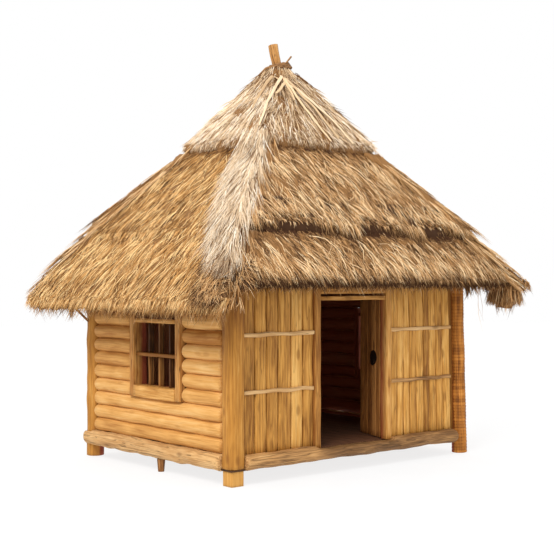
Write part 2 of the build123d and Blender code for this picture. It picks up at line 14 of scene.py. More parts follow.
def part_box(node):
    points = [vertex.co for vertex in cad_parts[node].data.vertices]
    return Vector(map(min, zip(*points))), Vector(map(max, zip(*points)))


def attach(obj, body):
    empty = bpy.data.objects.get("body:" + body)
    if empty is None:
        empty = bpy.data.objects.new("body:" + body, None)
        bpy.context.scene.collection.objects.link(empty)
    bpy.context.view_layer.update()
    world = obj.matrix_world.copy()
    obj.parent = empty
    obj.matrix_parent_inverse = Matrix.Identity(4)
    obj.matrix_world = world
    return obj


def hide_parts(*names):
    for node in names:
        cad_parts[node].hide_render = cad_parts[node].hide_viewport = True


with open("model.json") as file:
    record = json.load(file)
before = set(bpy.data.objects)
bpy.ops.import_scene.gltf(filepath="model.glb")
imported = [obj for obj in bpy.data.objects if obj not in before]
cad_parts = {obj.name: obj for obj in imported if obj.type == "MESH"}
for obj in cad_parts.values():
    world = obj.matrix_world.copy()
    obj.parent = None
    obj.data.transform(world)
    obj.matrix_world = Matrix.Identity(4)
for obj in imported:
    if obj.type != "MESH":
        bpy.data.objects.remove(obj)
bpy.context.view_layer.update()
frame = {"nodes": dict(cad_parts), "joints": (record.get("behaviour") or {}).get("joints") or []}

# Camera, fitted to the photograph
picture_width = 554
focal_pixels = 1109.4
horizon_drop_pixels = 5.3
camera_place = (-9.445, -11.080, 2.247)
camera_heading = -40.34
sensor_width = 36

# Light and floor
key_place = (-10.5, -6.5, 11)
key_size = 5
key_power = 1300
floor_reach = 40

# Walls
log_dome = 0.045
log_girth_share = 1.03
packing_share = 0.25
left_panel_boards = 6
right_panel_boards = 9
rear_panel_boards = 24
leaf_boards = 5
leaf_board_gap = 0.004
board_gap = 0.012
cover_width = 0.05
cover_depth = 0.01
bars_per_light = 3
bar_width = 0.027
bar_depth = 0.067
bar_seat = 0.005
bar_place_share = 0.992

# Front left post: a foot, a neck where the lashing bites, and the shaft
foot_height = 0.178
neck_height = 0.012
foot_width = 0.17
foot_corner = 0.012
shaft_corner_share = 0.33
lashing_radius = 0.006
lashing_levels = (-0.003, 0.007)
lashing_reach_share = 0.54

# Right front post: how wide the cane around it is
cane_width = 0.042

# Straw: strands for each square metre or metre, and how they lie
slope_density = 1080
spike_density = 1100
fringe_density = 1100
underside_density = 420
hidden_share = 0.32
hidden_spike_share = 0.6
per_tuft = 3
tuft_spread = 0.004
strand_lengths = (0.26, 0.52)
strand_widths = (0.0065, 0.013)
least_strand = 0.06
root_depth = 0.012
knee_share = 0.55
knee_width_share = 0.9
ridge_share = 0.45
spike_lengths = (0.07, 0.16)
spike_widths = (0.007, 0.013)
spike_lifts = (0.01, 0.04)
fringe_widths = (0.008, 0.014)
fringe_depth = 0.09
streak_width = 0.03
streak_length = 0.4
patch_pitch = 0.45
lobe_drop = 0.26
lobe_middle_share = 0.55
straw_overrun = 0.1
near_hip_tufts = 600
hip_tufts = 170
bundle_strands = 700
collar_strands = 420

# Steps across a face that strew places evenly, whatever their number
even_strides = (0.7548777, 0.5698403)

# Extra cover at the head of a slope and beside its hips, and how far the painted shade at head and edge
# reaches
cover_share = 1.7
head_cover_share = 0.07
hip_cover_share = 0.08
head_fade_share = 0.035
edge_fade_share = 0.06

# Dark curls at the near corner: where they lie on the two slopes, and how far beside the hip
curl_places = 140000
left_curl_shares = (0.885, 0.99)
left_curl_reach = (0.02, 0.38)
front_curl_shares = (0.88, 0.94)
front_curl_reach = (0.05, 0.2)
curl_widths = (0.006, 0.011)
golden_curl_share = 0.2

# The pale band along the near hip: where it runs from the peak to the eave, and how much of its width it has
near_hip_shares = (0.35, 0.46, 0.8, 0.93)
near_hip_width_shares = (0.7, 1.0, 0.9, 0.1)
near_hip_widths = (0.46, 0.1)
hip_shares = (0.372, 0.985)
hip_widths = (0.22, 0.22)
hip_per_tuft = 6
hip_tuft_spread = 0.01
hip_strand_lengths = (0.2, 0.5)
hip_strand_widths = (0.0055, 0.01)

# Lobes of the middle course's front edge, from x to x
front_lobes = ((-1.4, -0.15), (-0.1, 0.97), (1.0, 1.95))

# Tufts that hang under the eaves: place, strands, length, strand width and tone
hanging_tufts = (
    ((-2.5, 1.02, 1.95), 26, 0.2, 0.008, 0.3),
    ((1.54, -1.9, 2.2), 22, 0.19, 0.008, 0.1),
    ((1.74, -1.9, 2.2), 3, 0.8, 0.004, 0.3),
)

# Ties on the cap, from the knot down, the straw collar over them, and the vine around the stake
strap_width = 0.042
strap_thickness = 0.012
strap_taper_share = 0.4
strap_offset = (-0.02, -0.045, 0.025)
cap_straps = (
    ((-0.16, -0.25, 4.85), (-0.15, -0.46, 4.53)),
    ((-0.15, -0.25, 4.85), (-0.04, -0.52, 4.45), (0.17, -0.8, 4.0)),
    ((-0.13, -0.25, 4.84), (0.09, -0.5, 4.5), (0.33, -0.77, 4.05)),
    ((-0.09, -0.31, 4.76), (0.28, -0.53, 4.42), (0.55, -0.81, 4.0)),
    ((-0.17, -0.24, 4.86), (-0.56, -0.45, 4.51), (-0.9, -0.68, 4.09)),
    ((-0.23, -0.27, 4.81), (-0.45, -0.2, 4.66), (-0.68, -0.26, 4.37)),
    ((-0.15, -0.29, 4.78), (-0.42, -0.42, 4.6)),
)
strap_lift = 0.075
collar_centre = (-0.02, 0.016, 5.02)
collar_reach = (0.11, 0.16)
vine_turns = 3.4
vine_rise = 0.085
vine_tilt = 0.02
vine_end_radius = 0.013
vine_end = (
    (-0.29, 0.08, 4.93), (-0.22, 0.0, 5.03), (-0.13, -0.11, 5.06), (0.0, -0.14, 5.1), (0.06, -0.18, 5.195),
)

roof_half = np.array(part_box("lower_thatch")[1])[:2]
roof_peak = np.array((0, 0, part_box("cap_thatch")[1].z + 0.22))
up = np.array((0, 0, 1.0))
x_axis = (1, 0, 0)
z_axis = (0, 0, 1)
room_half_x = -(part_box("left_wall_long_logs")[0].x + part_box("left_wall_long_logs")[1].x) / 2
room_half_y = (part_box("rear_panel")[0].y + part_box("rear_panel")[1].y) / 2
room_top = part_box("lower_plates")[1].z


# Materials


def colour(red, green, blue):
    """A picture colour from 0 to 255 as the linear colour that the shader takes."""
    parts = [part / 255 for part in (red, green, blue)]
    linear = [part / 12.92 if part <= 0.04045 else ((part + 0.055) / 1.055) ** 2.4 for part in parts]
    return (*linear, 1)


class Graph:
    """A material's node tree, with short calls that add nodes and join them."""

    def __init__(self, name, roughness):
        self.material = bpy.data.materials.new(name)
        self.material.use_nodes = True
        self.tree = self.material.node_tree
        self.shader = self.tree.nodes["Principled BSDF"]
        self.shader.inputs["Roughness"].default_value = roughness
        self.shader.inputs["Specular IOR Level"].default_value = 0.2

    def set(self, socket, value):
        if isinstance(value, bpy.types.NodeSocket):
            self.tree.links.new(value, socket)
        else:
            socket.default_value = value

    def node(self, kind, **settings):
        made = self.tree.nodes.new("ShaderNode" + kind)
        for key, value in settings.items():
            setattr(made, key, value)
        return made

    def attribute(self, name, output="Fac"):
        return self.node("Attribute", attribute_name=name).outputs[output]

    def grain(self, along):
        """The grain's own coordinates, or for a CAD node its place with the long axis last."""
        if along is None:
            return self.attribute("grain", "Vector")
        split = self.node("SeparateXYZ")
        self.set(split.inputs[0], self.node("TexCoord").outputs["Object"])
        order = [axis for axis in range(3) if axis != along] + [along]
        turned = self.node("CombineXYZ")
        for place, axis in enumerate(order):
            self.set(turned.inputs[place], split.outputs[axis])
        return turned.outputs[0]

    def scaled(self, vector, factors):
        made = self.node("VectorMath", operation="MULTIPLY")
        self.set(made.inputs[0], vector)
        self.set(made.inputs[1], factors)
        return made.outputs[0]

    def math(self, operation, first, second=0.0):
        made = self.node("Math", operation=operation)
        self.set(made.inputs[0], first)
        self.set(made.inputs[1], second)
        return made.outputs[0]

    def noise(self, vector, scale, detail=3.0, distortion=0.0):
        made = self.node("TexNoise")
        self.set(made.inputs["Vector"], vector)
        self.set(made.inputs["Scale"], scale)
        self.set(made.inputs["Detail"], detail)
        self.set(made.inputs["Distortion"], distortion)
        return made.outputs["Fac"]

    def spots(self, vector, scale):
        made = self.node("TexVoronoi")
        self.set(made.inputs["Vector"], vector)
        self.set(made.inputs["Scale"], scale)
        return made.outputs["Distance"]

    def ramp(self, factor, *stops):
        made = self.node("ValToRGB")
        self.set(made.inputs[0], factor)
        elements = made.color_ramp.elements
        while len(elements) < len(stops):
            elements.new(0.5)
        for element, (place, shade) in zip(elements, stops):
            element.position = place
            element.color = shade if isinstance(shade, tuple) else (shade, shade, shade, 1)
        return made.outputs[0]

    def mix(self, factor, first, second):
        made = self.node("Mix", data_type="RGBA")
        self.set(made.inputs[0], factor)
        self.set(made.inputs[6], first)
        self.set(made.inputs[7], second)
        return made.outputs[2]

    def finish(self, shade, height, depth):
        """Joins the colour and a bump of that depth in metres to the shader."""
        self.set(self.shader.inputs["Base Color"], shade)
        bump = self.node("Bump")
        self.set(bump.inputs["Height"], height)
        self.set(bump.inputs["Distance"], depth)
        self.set(self.shader.inputs["Normal"], bump.outputs[0])
        return self.material


def wood(name, pale, middle, dark, along=None, fibre=70, cracking=0.7, knots=0.6, depth=0.004, contrast=1.0):
    """Timber with fibres, patches, drying cracks and knots; along is the grain's axis on a CAD node."""
    graph = Graph(name, 0.62)
    grain = graph.grain(along)
    streak = graph.noise(graph.scaled(grain, (1, 1, 0.05)), fibre, 4.0)
    patch = graph.noise(graph.scaled(grain, (1, 1, 0.3)), 7.0, 3.0, 0.6)
    level = graph.math("ADD", graph.math("MULTIPLY", streak, 0.6), graph.math("MULTIPLY", patch, 0.4))
    if along is None:
        tone = graph.math("SUBTRACT", graph.attribute("tone"), 0.5)
        level = graph.math("ADD", level, graph.math("MULTIPLY", tone, 0.6))
    reach = 0.21 / contrast
    shade = graph.ramp(level, (0.51 - reach, dark), (0.51, middle), (0.51 + reach, pale))
    knot = graph.spots(graph.scaled(grain, (1, 1, 0.45)), 5.5)
    knot = graph.math("MULTIPLY", graph.ramp(knot, (0.1, 1.0), (0.2, 0.0)), knots)
    shade = graph.mix(knot, shade, dark)
    crack = graph.noise(graph.scaled(grain, (1, 1, 0.03)), 26.0, 1.0, 0.3)
    crack = graph.math("ABSOLUTE", graph.math("SUBTRACT", crack, 0.5))
    crack = graph.math("MULTIPLY", graph.ramp(crack, (0.0, 1.0), (0.02, 0.0)), cracking)
    shade = graph.mix(crack, shade, tuple(part * 0.3 for part in dark[:3]) + (1,))
    if along is None:
        end = graph.math("MULTIPLY", graph.attribute("end"), 0.45)
        shade = graph.mix(end, shade, dark)
        # Surfaces inside the room are darkened towards a dark red-brown as painted shade.
        indoor_shade = graph.math("MULTIPLY", graph.attribute("indoor_shade"), 0.88)
        shade = graph.mix(indoor_shade, shade, colour(138, 54, 35))
    height = graph.math("SUBTRACT", streak, graph.math("MULTIPLY", crack, 0.8))
    return graph.finish(shade, height, depth)


def straw_stuff(name, dark, middle, pale, contrast=0.3):
    """Dry straw, with each strand's tone, which also carries painted shade, and fine streaks along it."""
    graph = Graph(name, 0.7)
    grain = graph.attribute("grain", "Vector")
    streak = graph.noise(graph.scaled(grain, (1, 1, 0.06)), 120.0, 3.0)
    level = graph.math("ADD", graph.attribute("tone"), graph.math("MULTIPLY", streak, contrast))
    level = graph.math("SUBTRACT", level, contrast / 2)
    shade = graph.ramp(level, (0.05, dark), (0.5, middle), (0.9, pale))
    return graph.finish(shade, streak, 0.004)


def iron(name):
    """Dark forged iron with a little rust."""
    graph = Graph(name, 0.55)
    graph.shader.inputs["Metallic"].default_value = 0.7
    place = graph.node("TexCoord").outputs["Object"]
    hammered = graph.noise(place, 60.0, 4.0)
    shade = graph.ramp(hammered, (0.35, colour(24, 20, 18)), (0.7, colour(66, 46, 34)))
    return graph.finish(shade, hammered, 0.003)


def deck_boards(name, board_width, gap):
    """Worn floor boards that run from the front to the rear."""
    graph = Graph(name, 0.75)
    split = graph.node("SeparateXYZ")
    graph.set(split.inputs[0], graph.node("TexCoord").outputs["Object"])
    across = graph.math("FRACT", graph.math("DIVIDE", split.outputs[0], board_width))
    edge = graph.math("MINIMUM", across, graph.math("SUBTRACT", 1.0, across))
    joint = graph.ramp(edge, (0.0, 1.0), (gap / board_width, 0.0))
    streak = graph.noise(graph.scaled(graph.grain(1), (1, 1, 0.05)), 60.0, 4.0)
    shade = graph.ramp(streak, (0.3, colour(70, 42, 28)), (0.7, colour(128, 86, 58)))
    shade = graph.mix(joint, shade, colour(22, 12, 8))
    return graph.finish(shade, graph.math("SUBTRACT", streak, joint), 0.005)


# Closed meshes


class Pile:
    """Small closed solids gathered into one mesh. Each point keeps its grain, tone and share of end grain."""

    def __init__(self, name):
        self.name = name
        self.random = np.random.default_rng(zlib.crc32(name.encode()))
        self.points = []
        self.triangles = []
        self.grain = []
        self.tone = []
        self.end = []
        self.count = 0

    def add(self, points, triangles, grain, tone, end):
        size = len(points)
        self.points.append(points)
        self.triangles.append(np.asarray(triangles) + self.count)
        self.grain.append(grain)
        self.tone.append(np.broadcast_to(tone, size))
        self.end.append(np.broadcast_to(end, size))
        self.count += size

    def build(self, material, slot, *nodes, body="hut", smooth=True, indoor_shaded=True):
        """Makes the object, which rides on the body and stands for the CAD nodes."""
        points = np.concatenate(self.points)
        triangles = np.concatenate(self.triangles)
        mesh = bpy.data.meshes.new(self.name)
        mesh.vertices.add(len(points))
        mesh.vertices.foreach_set("co", points.astype(np.float32).ravel())
        mesh.loops.add(triangles.size)
        mesh.loops.foreach_set("vertex_index", triangles.astype(np.int32).ravel())
        mesh.polygons.add(len(triangles))
        mesh.polygons.foreach_set("loop_start", np.arange(0, triangles.size, 3, dtype=np.int32))
        mesh.polygons.foreach_set("use_smooth", np.full(len(triangles), smooth))
        mesh.update(calc_edges=True)
        grain = mesh.attributes.new("grain", "FLOAT_VECTOR", "POINT")
        grain.data.foreach_set("vector", np.concatenate(self.grain).astype(np.float32).ravel())
        values = {
            "tone": np.concatenate(self.tone),
            "end": np.concatenate(self.end),
            "indoor_shade": indoor_shade(points) * indoor_shaded,
        }
        for name, value in values.items():
            mesh.attributes.new(name, "FLOAT", "POINT").data.foreach_set("value", value.astype(np.float32))
        mesh.materials.append(material)
        made = bpy.data.objects.new(self.name, mesh)
        bpy.context.scene.collection.objects.link(made)
        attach(made, body)
        if nodes:
            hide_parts(*nodes)


def indoor_shade(points):
    """How far a point is inside the room, from 0 outside to 1 a little way in: how much painted shade darkens
    it indoors.
    """
    fade = 0.03
    inside = np.minimum(room_half_x - np.abs(points[:, 0]), room_half_y - np.abs(points[:, 1]))
    inside = np.minimum(inside, room_top - points[:, 2])
    return np.clip(inside / fade, 0, 1)


def unit(vectors):
    return vectors / np.linalg.norm(vectors, axis=-1, keepdims=True)


def ripple(random, along, around):
    """A smooth seeded unevenness, about -1 to 1, over the length and the girth of a bar."""
    waves = 5
    total = 0
    for _ in range(waves):
        pitch = random.uniform(0.2, 1.1)
        lobes = random.integers(0, 4)
        total = total + np.sin(2 * math.pi * (along / pitch + random.random()) + lobes * around)
    return total / math.sqrt(waves)


def round_section(radius, sides):
    angle = np.arange(sides) * 2 * math.pi / sides
    return radius * np.column_stack((np.cos(angle), np.sin(angle)))


def board_section(width, depth, corner, crown=0.0):
    """A rectangle with rounded corners, whose second side may bulge by the crown."""
    corner = min(corner, 0.49 * min(width, depth))
    outline = []
    for turn in range(4):
        across = 1 if turn in (0, 3) else -1
        over = 1 if turn in (0, 1) else -1
        for step in range(4):
            angle = (turn + step / 3) * math.pi / 2
            x = across * (width / 2 - corner) + corner * math.cos(angle)
            y = over * (depth / 2 - corner) + corner * math.sin(angle)
            outline.append((x, y))
        if turn in (0, 2):
            flat = width / 2 - corner
            outline += [(across * place * flat, over * depth / 2) for place in (0.5, 0, -0.5)]
    outline = np.array(outline)
    middle = 1 - (2 * outline[:, 0] / width) ** 2
    outline[:, 1] += np.where(outline[:, 1] < 0, -crown * middle, 0)
    return outline


def sweep(pile, section, path, side, step=0.06, bumps=0.0, dome=0.006, growth=None, tone=None, wander=0.0):
    """Carries a section along a path as one closed bar, with both ends rounded off over the dome's length."""
    random = pile.random
    path = np.asarray(path, float)
    legs = np.concatenate(([0], np.cumsum(np.linalg.norm(np.diff(path, axis=0), axis=1))))
    length = legs[-1]
    dome = min(dome, length / 3)
    bend = np.radians((78, 50, 25))
    inner = np.linspace(dome, length - dome, max(2, round((length - 2 * dome) / step) + 1))
    ends = dome * (1 - np.sin(bend))
    along = np.concatenate((ends, inner, length - ends[::-1]))
    closing = np.concatenate((np.cos(bend), np.ones(len(inner)), np.cos(bend)[::-1]))
    centre = np.column_stack([np.interp(along, legs, path[:, axis]) for axis in range(3)])
    tangent = unit(np.gradient(centre, axis=0))
    side = np.asarray(side, float)
    side = unit(side - tangent * (tangent @ side)[:, None])
    above = np.cross(tangent, side)
    centre = centre + side * (wander * ripple(random, along, 0))[:, None]
    centre = centre + above * (wander * ripple(random, along, 0))[:, None]
    size = closing * (1 if growth is None else growth(along))
    around = np.arctan2(section[:, 1], section[:, 0])
    uneven = bumps * ripple(random, along[:, None], around[None, :])
    size = size[:, None] * (1 + uneven / np.linalg.norm(section, axis=1))
    across = section[None, :, 0] * size
    over = section[None, :, 1] * size
    rings = centre[:, None] + side[:, None] * across[..., None] + above[:, None] * over[..., None]
    stations, girth = size.shape
    shift = random.uniform(-50, 50, 3)
    grain = np.dstack((across, over, np.broadcast_to(along[:, None], size.shape))) + shift
    ring = np.arange(stations * girth).reshape(stations, girth)
    here, there = ring[:-1], ring[1:]
    next_here, next_there = np.roll(here, -1, 1), np.roll(there, -1, 1)
    first = np.stack((here, next_here, next_there), -1).reshape(-1, 3)
    second = np.stack((here, next_there, there), -1).reshape(-1, 3)
    start, finish = stations * girth, stations * girth + 1
    low_cap = np.column_stack((np.full(girth, start), np.roll(ring[0], -1), ring[0]))
    high_cap = np.column_stack((np.full(girth, finish), ring[-1], np.roll(ring[-1], -1)))
    tips = np.array((centre[0] - tangent[0] * along[0], centre[-1] + tangent[-1] * (length - along[-1])))
    points = np.concatenate((rings.reshape(-1, 3), tips))
    tip_grain = np.array(((0, 0, 0), (0, 0, length))) + shift
    ended = np.concatenate((np.repeat(1 - np.clip(closing * 1.3 - 0.3, 0, 1), girth), (1, 1)))
    if tone is None:
        tone = np.clip(random.normal(0.5, 0.16), 0.1, 0.9)
    elif callable(tone):
        tone = np.append(np.repeat(tone(along), girth), tone(np.array((0, length))))
    pile.add(points, np.concatenate((first, second, low_cap, high_cap)),
             np.concatenate((grain.reshape(-1, 3), tip_grain)), tone, ended)


def solid_boxes(node):
    """The lowest and highest corner of each separate solid in a CAD node."""
    mesh = frame["nodes"][node].data
    points = node_points(node)
    edges = np.empty(len(mesh.edges) * 2, np.int32)
    mesh.edges.foreach_get("vertices", edges)
    _, same = np.unique(np.round(points, 5), axis=0, return_inverse=True)
    ends = same.ravel()[edges].reshape(-1, 2)
    label = np.arange(same.max() + 1)
    while True:
        lower = label[ends].min(axis=1)
        changed = label.copy()
        np.minimum.at(changed, ends[:, 0], lower)
        np.minimum.at(changed, ends[:, 1], lower)
        if (changed == label).all():
            break
        label = changed
    group = label[same.ravel()]
    return [(points[group == one].min(0), points[group == one].max(0)) for one in np.unique(group)]


def node_points(node):
    mesh = frame["nodes"][node].data
    points = np.empty(len(mesh.vertices) * 3, np.float32)
    mesh.vertices.foreach_get("co", points)
    return points.reshape(-1, 3).astype(float)


def node_triangles(node):
    mesh = frame["nodes"][node].data
    mesh.calc_loop_triangles()
    index = np.empty(len(mesh.loop_triangles) * 3, np.int32)
    mesh.loop_triangles.foreach_get("vertices", index)
    return index.reshape(-1, 3)


def rims(node, slant=0.001):
    """The centre and radius of the lower and the upper rim of a round CAD solid; slant is a rim's height."""
    points = node_points(node)
    low, high = points[:, 2].min(), points[:, 2].max()
    found = []
    for rim in (points[points[:, 2] < low + slant], points[points[:, 2] > high - slant]):
        centre = (rim.min(0) + rim.max(0)) / 2
        found.append((centre, (rim.max(0) - rim.min(0))[0] / 2))
    return found


def timber(pile, low, high, corner, bumps=0.0, wander=0.0, tone=None):
    """A hewn bar that fills a box, along the box's longest side."""
    size = high - low
    axis = int(np.argmax(size))
    across, over = [other for other in range(3) if other != axis]
    start = (low + high) / 2
    finish = start.copy()
    start[axis], finish[axis] = low[axis], high[axis]
    section = board_section(size[across], size[over], corner)
    sweep(pile, section, (start, finish), np.eye(3)[across], bumps=bumps, wander=wander, tone=tone)


def worn_copy(pile, node, voxel, wear, pitch, grain_of, tone=0.5):
    """Adds a copy of a CAD solid, meshed evenly and worn uneven, with its grain from the points."""
    copy = bpy.data.objects.new(node, frame["nodes"][node].data.copy())
    bpy.context.scene.collection.objects.link(copy)
    even = copy.modifiers.new("even", "REMESH")
    even.mode = "VOXEL"
    even.voxel_size = voxel
    mesh = copy.evaluated_get(bpy.context.evaluated_depsgraph_get()).to_mesh()
    mesh.calc_loop_triangles()
    points = np.empty(len(mesh.vertices) * 3, np.float32)
    mesh.vertices.foreach_get("co", points)
    normals = np.empty_like(points)
    mesh.vertices.foreach_get("normal", normals)
    triangles = np.empty(len(mesh.loop_triangles) * 3, np.int32)
    mesh.loop_triangles.foreach_get("vertices", triangles)
    bpy.data.objects.remove(copy)
    points = points.reshape(-1, 3).astype(float)
    moves = wear * unevenness(pile.random, points, pitch)
    points = points + normals.reshape(-1, 3) * moves[:, None]
    shade = tone(points) if callable(tone) else tone
    pile.add(points, triangles.reshape(-1, 3), grain_of(points), shade, 0.0)


def unevenness(random, points, pitch):
    """A smooth seeded unevenness in space, about -1 to 1, with waves around that pitch."""
    waves = 9
    total = np.zeros(len(points))
    for _ in range(waves):
        heading = unit(random.normal(0, 1, 3)) / (pitch * random.uniform(0.6, 1.8))
        total += np.sin(2 * math.pi * (points @ heading + random.random()))
    return total / math.sqrt(waves)


# Woods and straws
honey = (colour(240, 196, 130), colour(214, 158, 86), colour(166, 108, 46))
log_wood = wood("log_wood", *honey, cracking=0.15, knots=0.3, fibre=45, contrast=0.7)
post_wood = wood("post_wood", colour(214, 160, 84), colour(184, 126, 52), colour(128, 78, 28),
                 knots=0.6, cracking=0.2, fibre=40, contrast=0.8)
bound_wood = wood("bound_post", colour(224, 158, 80), colour(188, 120, 48), colour(116, 66, 22),
                  cracking=0.1, fibre=45, knots=0.1)
sill_wood = wood("sill_wood", colour(222, 178, 120), colour(188, 140, 86), colour(122, 86, 50),
                 fibre=55, depth=0.008)
plank_wood = wood("plank_wood", colour(234, 184, 106), colour(204, 146, 68), colour(140, 90, 34),
                  fibre=50, cracking=0.5)
batten_wood = wood("batten_wood", colour(222, 182, 128), colour(192, 146, 92), colour(130, 88, 48), fibre=50)
rail_wood = wood("rail_wood", colour(224, 172, 100), colour(190, 132, 62), colour(134, 84, 32), cracking=0.4)
stile_wood = wood("stile_wood", colour(210, 156, 86), colour(168, 110, 50), colour(104, 60, 24))
# The bars' wood is far darker than the frame's, as painted shade in the window.
shaded_bar_wood = wood("shaded_bar_wood", colour(164, 112, 58), colour(98, 60, 28), colour(48, 27, 13))
door_wood = wood("door_wood", colour(200, 136, 74), colour(160, 100, 46), colour(98, 55, 22))
stake_wood = wood("stake_wood", colour(212, 164, 104), colour(184, 130, 70), colour(128, 82, 38))
vine = wood("vine_cord", colour(186, 140, 92), colour(134, 94, 56), colour(70, 44, 25), fibre=90)
frame_tones = (colour(178, 126, 72), colour(132, 86, 44), colour(78, 46, 22))
frame_wood = [wood("frame_wood_" + "xyz"[axis], *frame_tones, along=axis) for axis in range(3)]
straw = straw_stuff("straw", colour(76, 46, 22), colour(206, 157, 101), colour(250, 222, 176))
golden_straw = straw_stuff("golden_straw", colour(76, 44, 18), colour(203, 149, 84), colour(247, 212, 152))
hip_straw_stuff = straw_stuff("hip_straw", colour(112, 76, 44), colour(231, 204, 168), colour(255, 246, 228))
pale_straw = straw_stuff("pale_straw", colour(110, 70, 32), colour(233, 201, 158), colour(255, 242, 220))
# The bed is darker than the straw over it, as painted shade in the gaps between the tufts.
shaded_thatch_bed = straw_stuff("shaded_thatch_bed", colour(70, 43, 21), colour(158, 113, 65), colour(206, 160, 104), 1.0)
ring_iron = iron("dark_iron")


# Posts and sills


def square_post():
    """The near post: a squared foot, a lashed neck and a rounded square shaft."""
    low, high = (np.array(corner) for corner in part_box("front_left_post"))
    width = high[0] - low[0]
    x, y, _ = (low + high) / 2
    pile = Pile("near_post")
    foot = ((x, y, low[2]), (x, y, foot_height + neck_height))
    section = board_section(foot_width, foot_width, foot_corner)
    # The foot is paler as painted light from the floor.
    sweep(pile, section, foot, x_axis, step=0.03, bumps=0.002, dome=0.003, tone=0.75)
    shaft = ((x, y, foot_height + 0.5 * neck_height), (x, y, high[2]))

    # The shaft darkens towards its head as painted shade under the eave.
    def tone(along):
        return np.interp(along, (0, 1.2, 1.75), (0.48, 0.46, 0.25))

    section = board_section(width, width, shaft_corner_share * width)
    sweep(pile, section, shaft, x_axis, step=0.04, bumps=0.004, dome=0.014, tone=tone)
    pile.build(post_wood, "post_wood", "front_left_post")
    lashing = Pile("near_post_lashing")
    half = lashing_reach_share * foot_width
    for level in lashing_levels:
        corners = [(half, half), (-half, half), (-half, -half), (half, -half), (half, half)]
        ring = [(x + across, y + along, foot_height + level) for across, along in corners]
        sweep(lashing, round_section(lashing_radius, 8), ring, z_axis,
              step=0.02, bumps=0.0005, dome=0.003, tone=0.3)
    lashing.build(vine, "vine_cord")


def round_post(node, name):
    """A peeled round post."""
    (base, base_radius), (top, _) = rims(node)
    pile = Pile(name)
    sweep(pile, round_section(base_radius, 22), (base, top), x_axis,
          step=0.05, bumps=0.004, dome=0.008, tone=0.44, wander=0.003)
    pile.build(post_wood, "post_wood", node)


def bound_post():
    """The far front post, which tapers and is bound from foot to head with flat cane."""
    (base, base_radius), (top, top_radius) = rims("front_right_post")
    length = np.linalg.norm(top - base)
    pile = Pile("bound_post")
    bands = int(length / cane_width) + 2
    swells = pile.random.uniform(0.0, 0.03, bands)
    tones = pile.random.normal(0.4, 0.07, bands)

    def groove(along):
        return (np.abs((along / cane_width) % 1 - 0.5) * 2) ** 4

    def growth(along):
        taper = 1 + (top_radius / base_radius - 1) * along / length
        return taper * (0.985 + swells[(along / cane_width).astype(int)] - 0.06 * groove(along))

    def tone(along):
        return tones[(along / cane_width).astype(int)] - 0.14 * groove(along)

    sweep(pile, round_section(base_radius, 24), (base, top), x_axis,
          step=0.0075, bumps=0.002, growth=growth, tone=tone)
    pile.build(bound_wood, "bound_post", "front_right_post")


def front_sill_tone(points):
    """Paler beside the near post, and darker from the doorway on."""
    places = (-1.8, -0.8, -0.5, 1.7)
    tones = (0.5, 0.42, 0.18, 0.28)
    return np.interp(points[:, 0], places, tones)


def sills():
    """The gnarled timbers under the walls, worn from their cut shapes."""
    axes = {"front_sill": 0, "rear_sill": 0, "left_sill": 1, "right_sill": 1}
    for node, axis in axes.items():
        others = [other for other in range(3) if other != axis]
        pile = Pile(node.replace("sill", "ground_beam"))
        tone = front_sill_tone if node == "front_sill" else 0.66
        worn_copy(pile, node, voxel=0.024, wear=0.006, pitch=0.3,
                  grain_of=lambda points: points[:, others + [axis]], tone=tone)
        pile.build(sill_wood, "sill_wood", node)


# Walls


def log_wall(side):
    """The stacked round logs beside, over and under a window."""
    for kind in ("long", "short"):
        node = f"{side}_wall_{kind}_logs"
        pile = Pile(f"{side}_{kind}_logs")
        for low, high in solid_boxes(node):
            middle = (low + high) / 2
            path = np.array(((middle[0], low[1], middle[2]), (middle[0], high[1], middle[2])))
            radius = (high[2] - low[2]) / 2
            sweep(pile, round_section(log_girth_share * radius, 22), path, x_axis,
                  step=0.09, bumps=0.003, dome=log_dome, wander=0.002)
            seam = np.array((0, 0, radius))
            packing = (path[0] + seam + (0, log_dome, 0), path[1] + seam - (0, log_dome, 0))
            sweep(pile, round_section(packing_share * radius, 8), packing, x_axis,
                  step=0.2, bumps=0.002, dome=0.01, tone=0.1)
        pile.build(log_wood, "log_wood", node)


def window(side):
    """The frame of a side window, with upright bars set edgewise in both lights."""
    stiles = Pile(f"{side}_window_frame")
    for low, high in solid_boxes(f"{side}_window_stiles"):
        timber(stiles, low, high, corner=0.008, bumps=0.002)
    stiles.build(stile_wood, "frame_wood", f"{side}_window_stiles")
    beams = sorted(solid_boxes(f"{side}_window_rails"), key=lambda box: box[0][2])
    rails = Pile(f"{side}_window_beams")
    for low, high in beams:
        timber(rails, low, high, corner=0.008, bumps=0.002)
    rails.build(rail_wood, "rail_wood", f"{side}_window_rails")
    bars = Pile(f"{side}_window_bars")
    for (low_beam, under), (over, _) in zip(beams, beams[1:]):
        middle_x = bar_place_share * (under[0] + low_beam[0]) / 2
        for place in range(1, bars_per_light + 1):
            y = low_beam[1] + (under[1] - low_beam[1]) * place / (bars_per_light + 1)
            half = np.array((bar_depth, bar_width, 0)) / 2
            base = np.array((middle_x, y, under[2] - bar_seat))
            top = np.array((middle_x, y, over[2] + bar_seat))
            timber(bars, base - half, top + half, corner=0.004, bumps=0.0015)
    bars.build(shaded_bar_wood, "frame_wood", indoor_shaded=False)


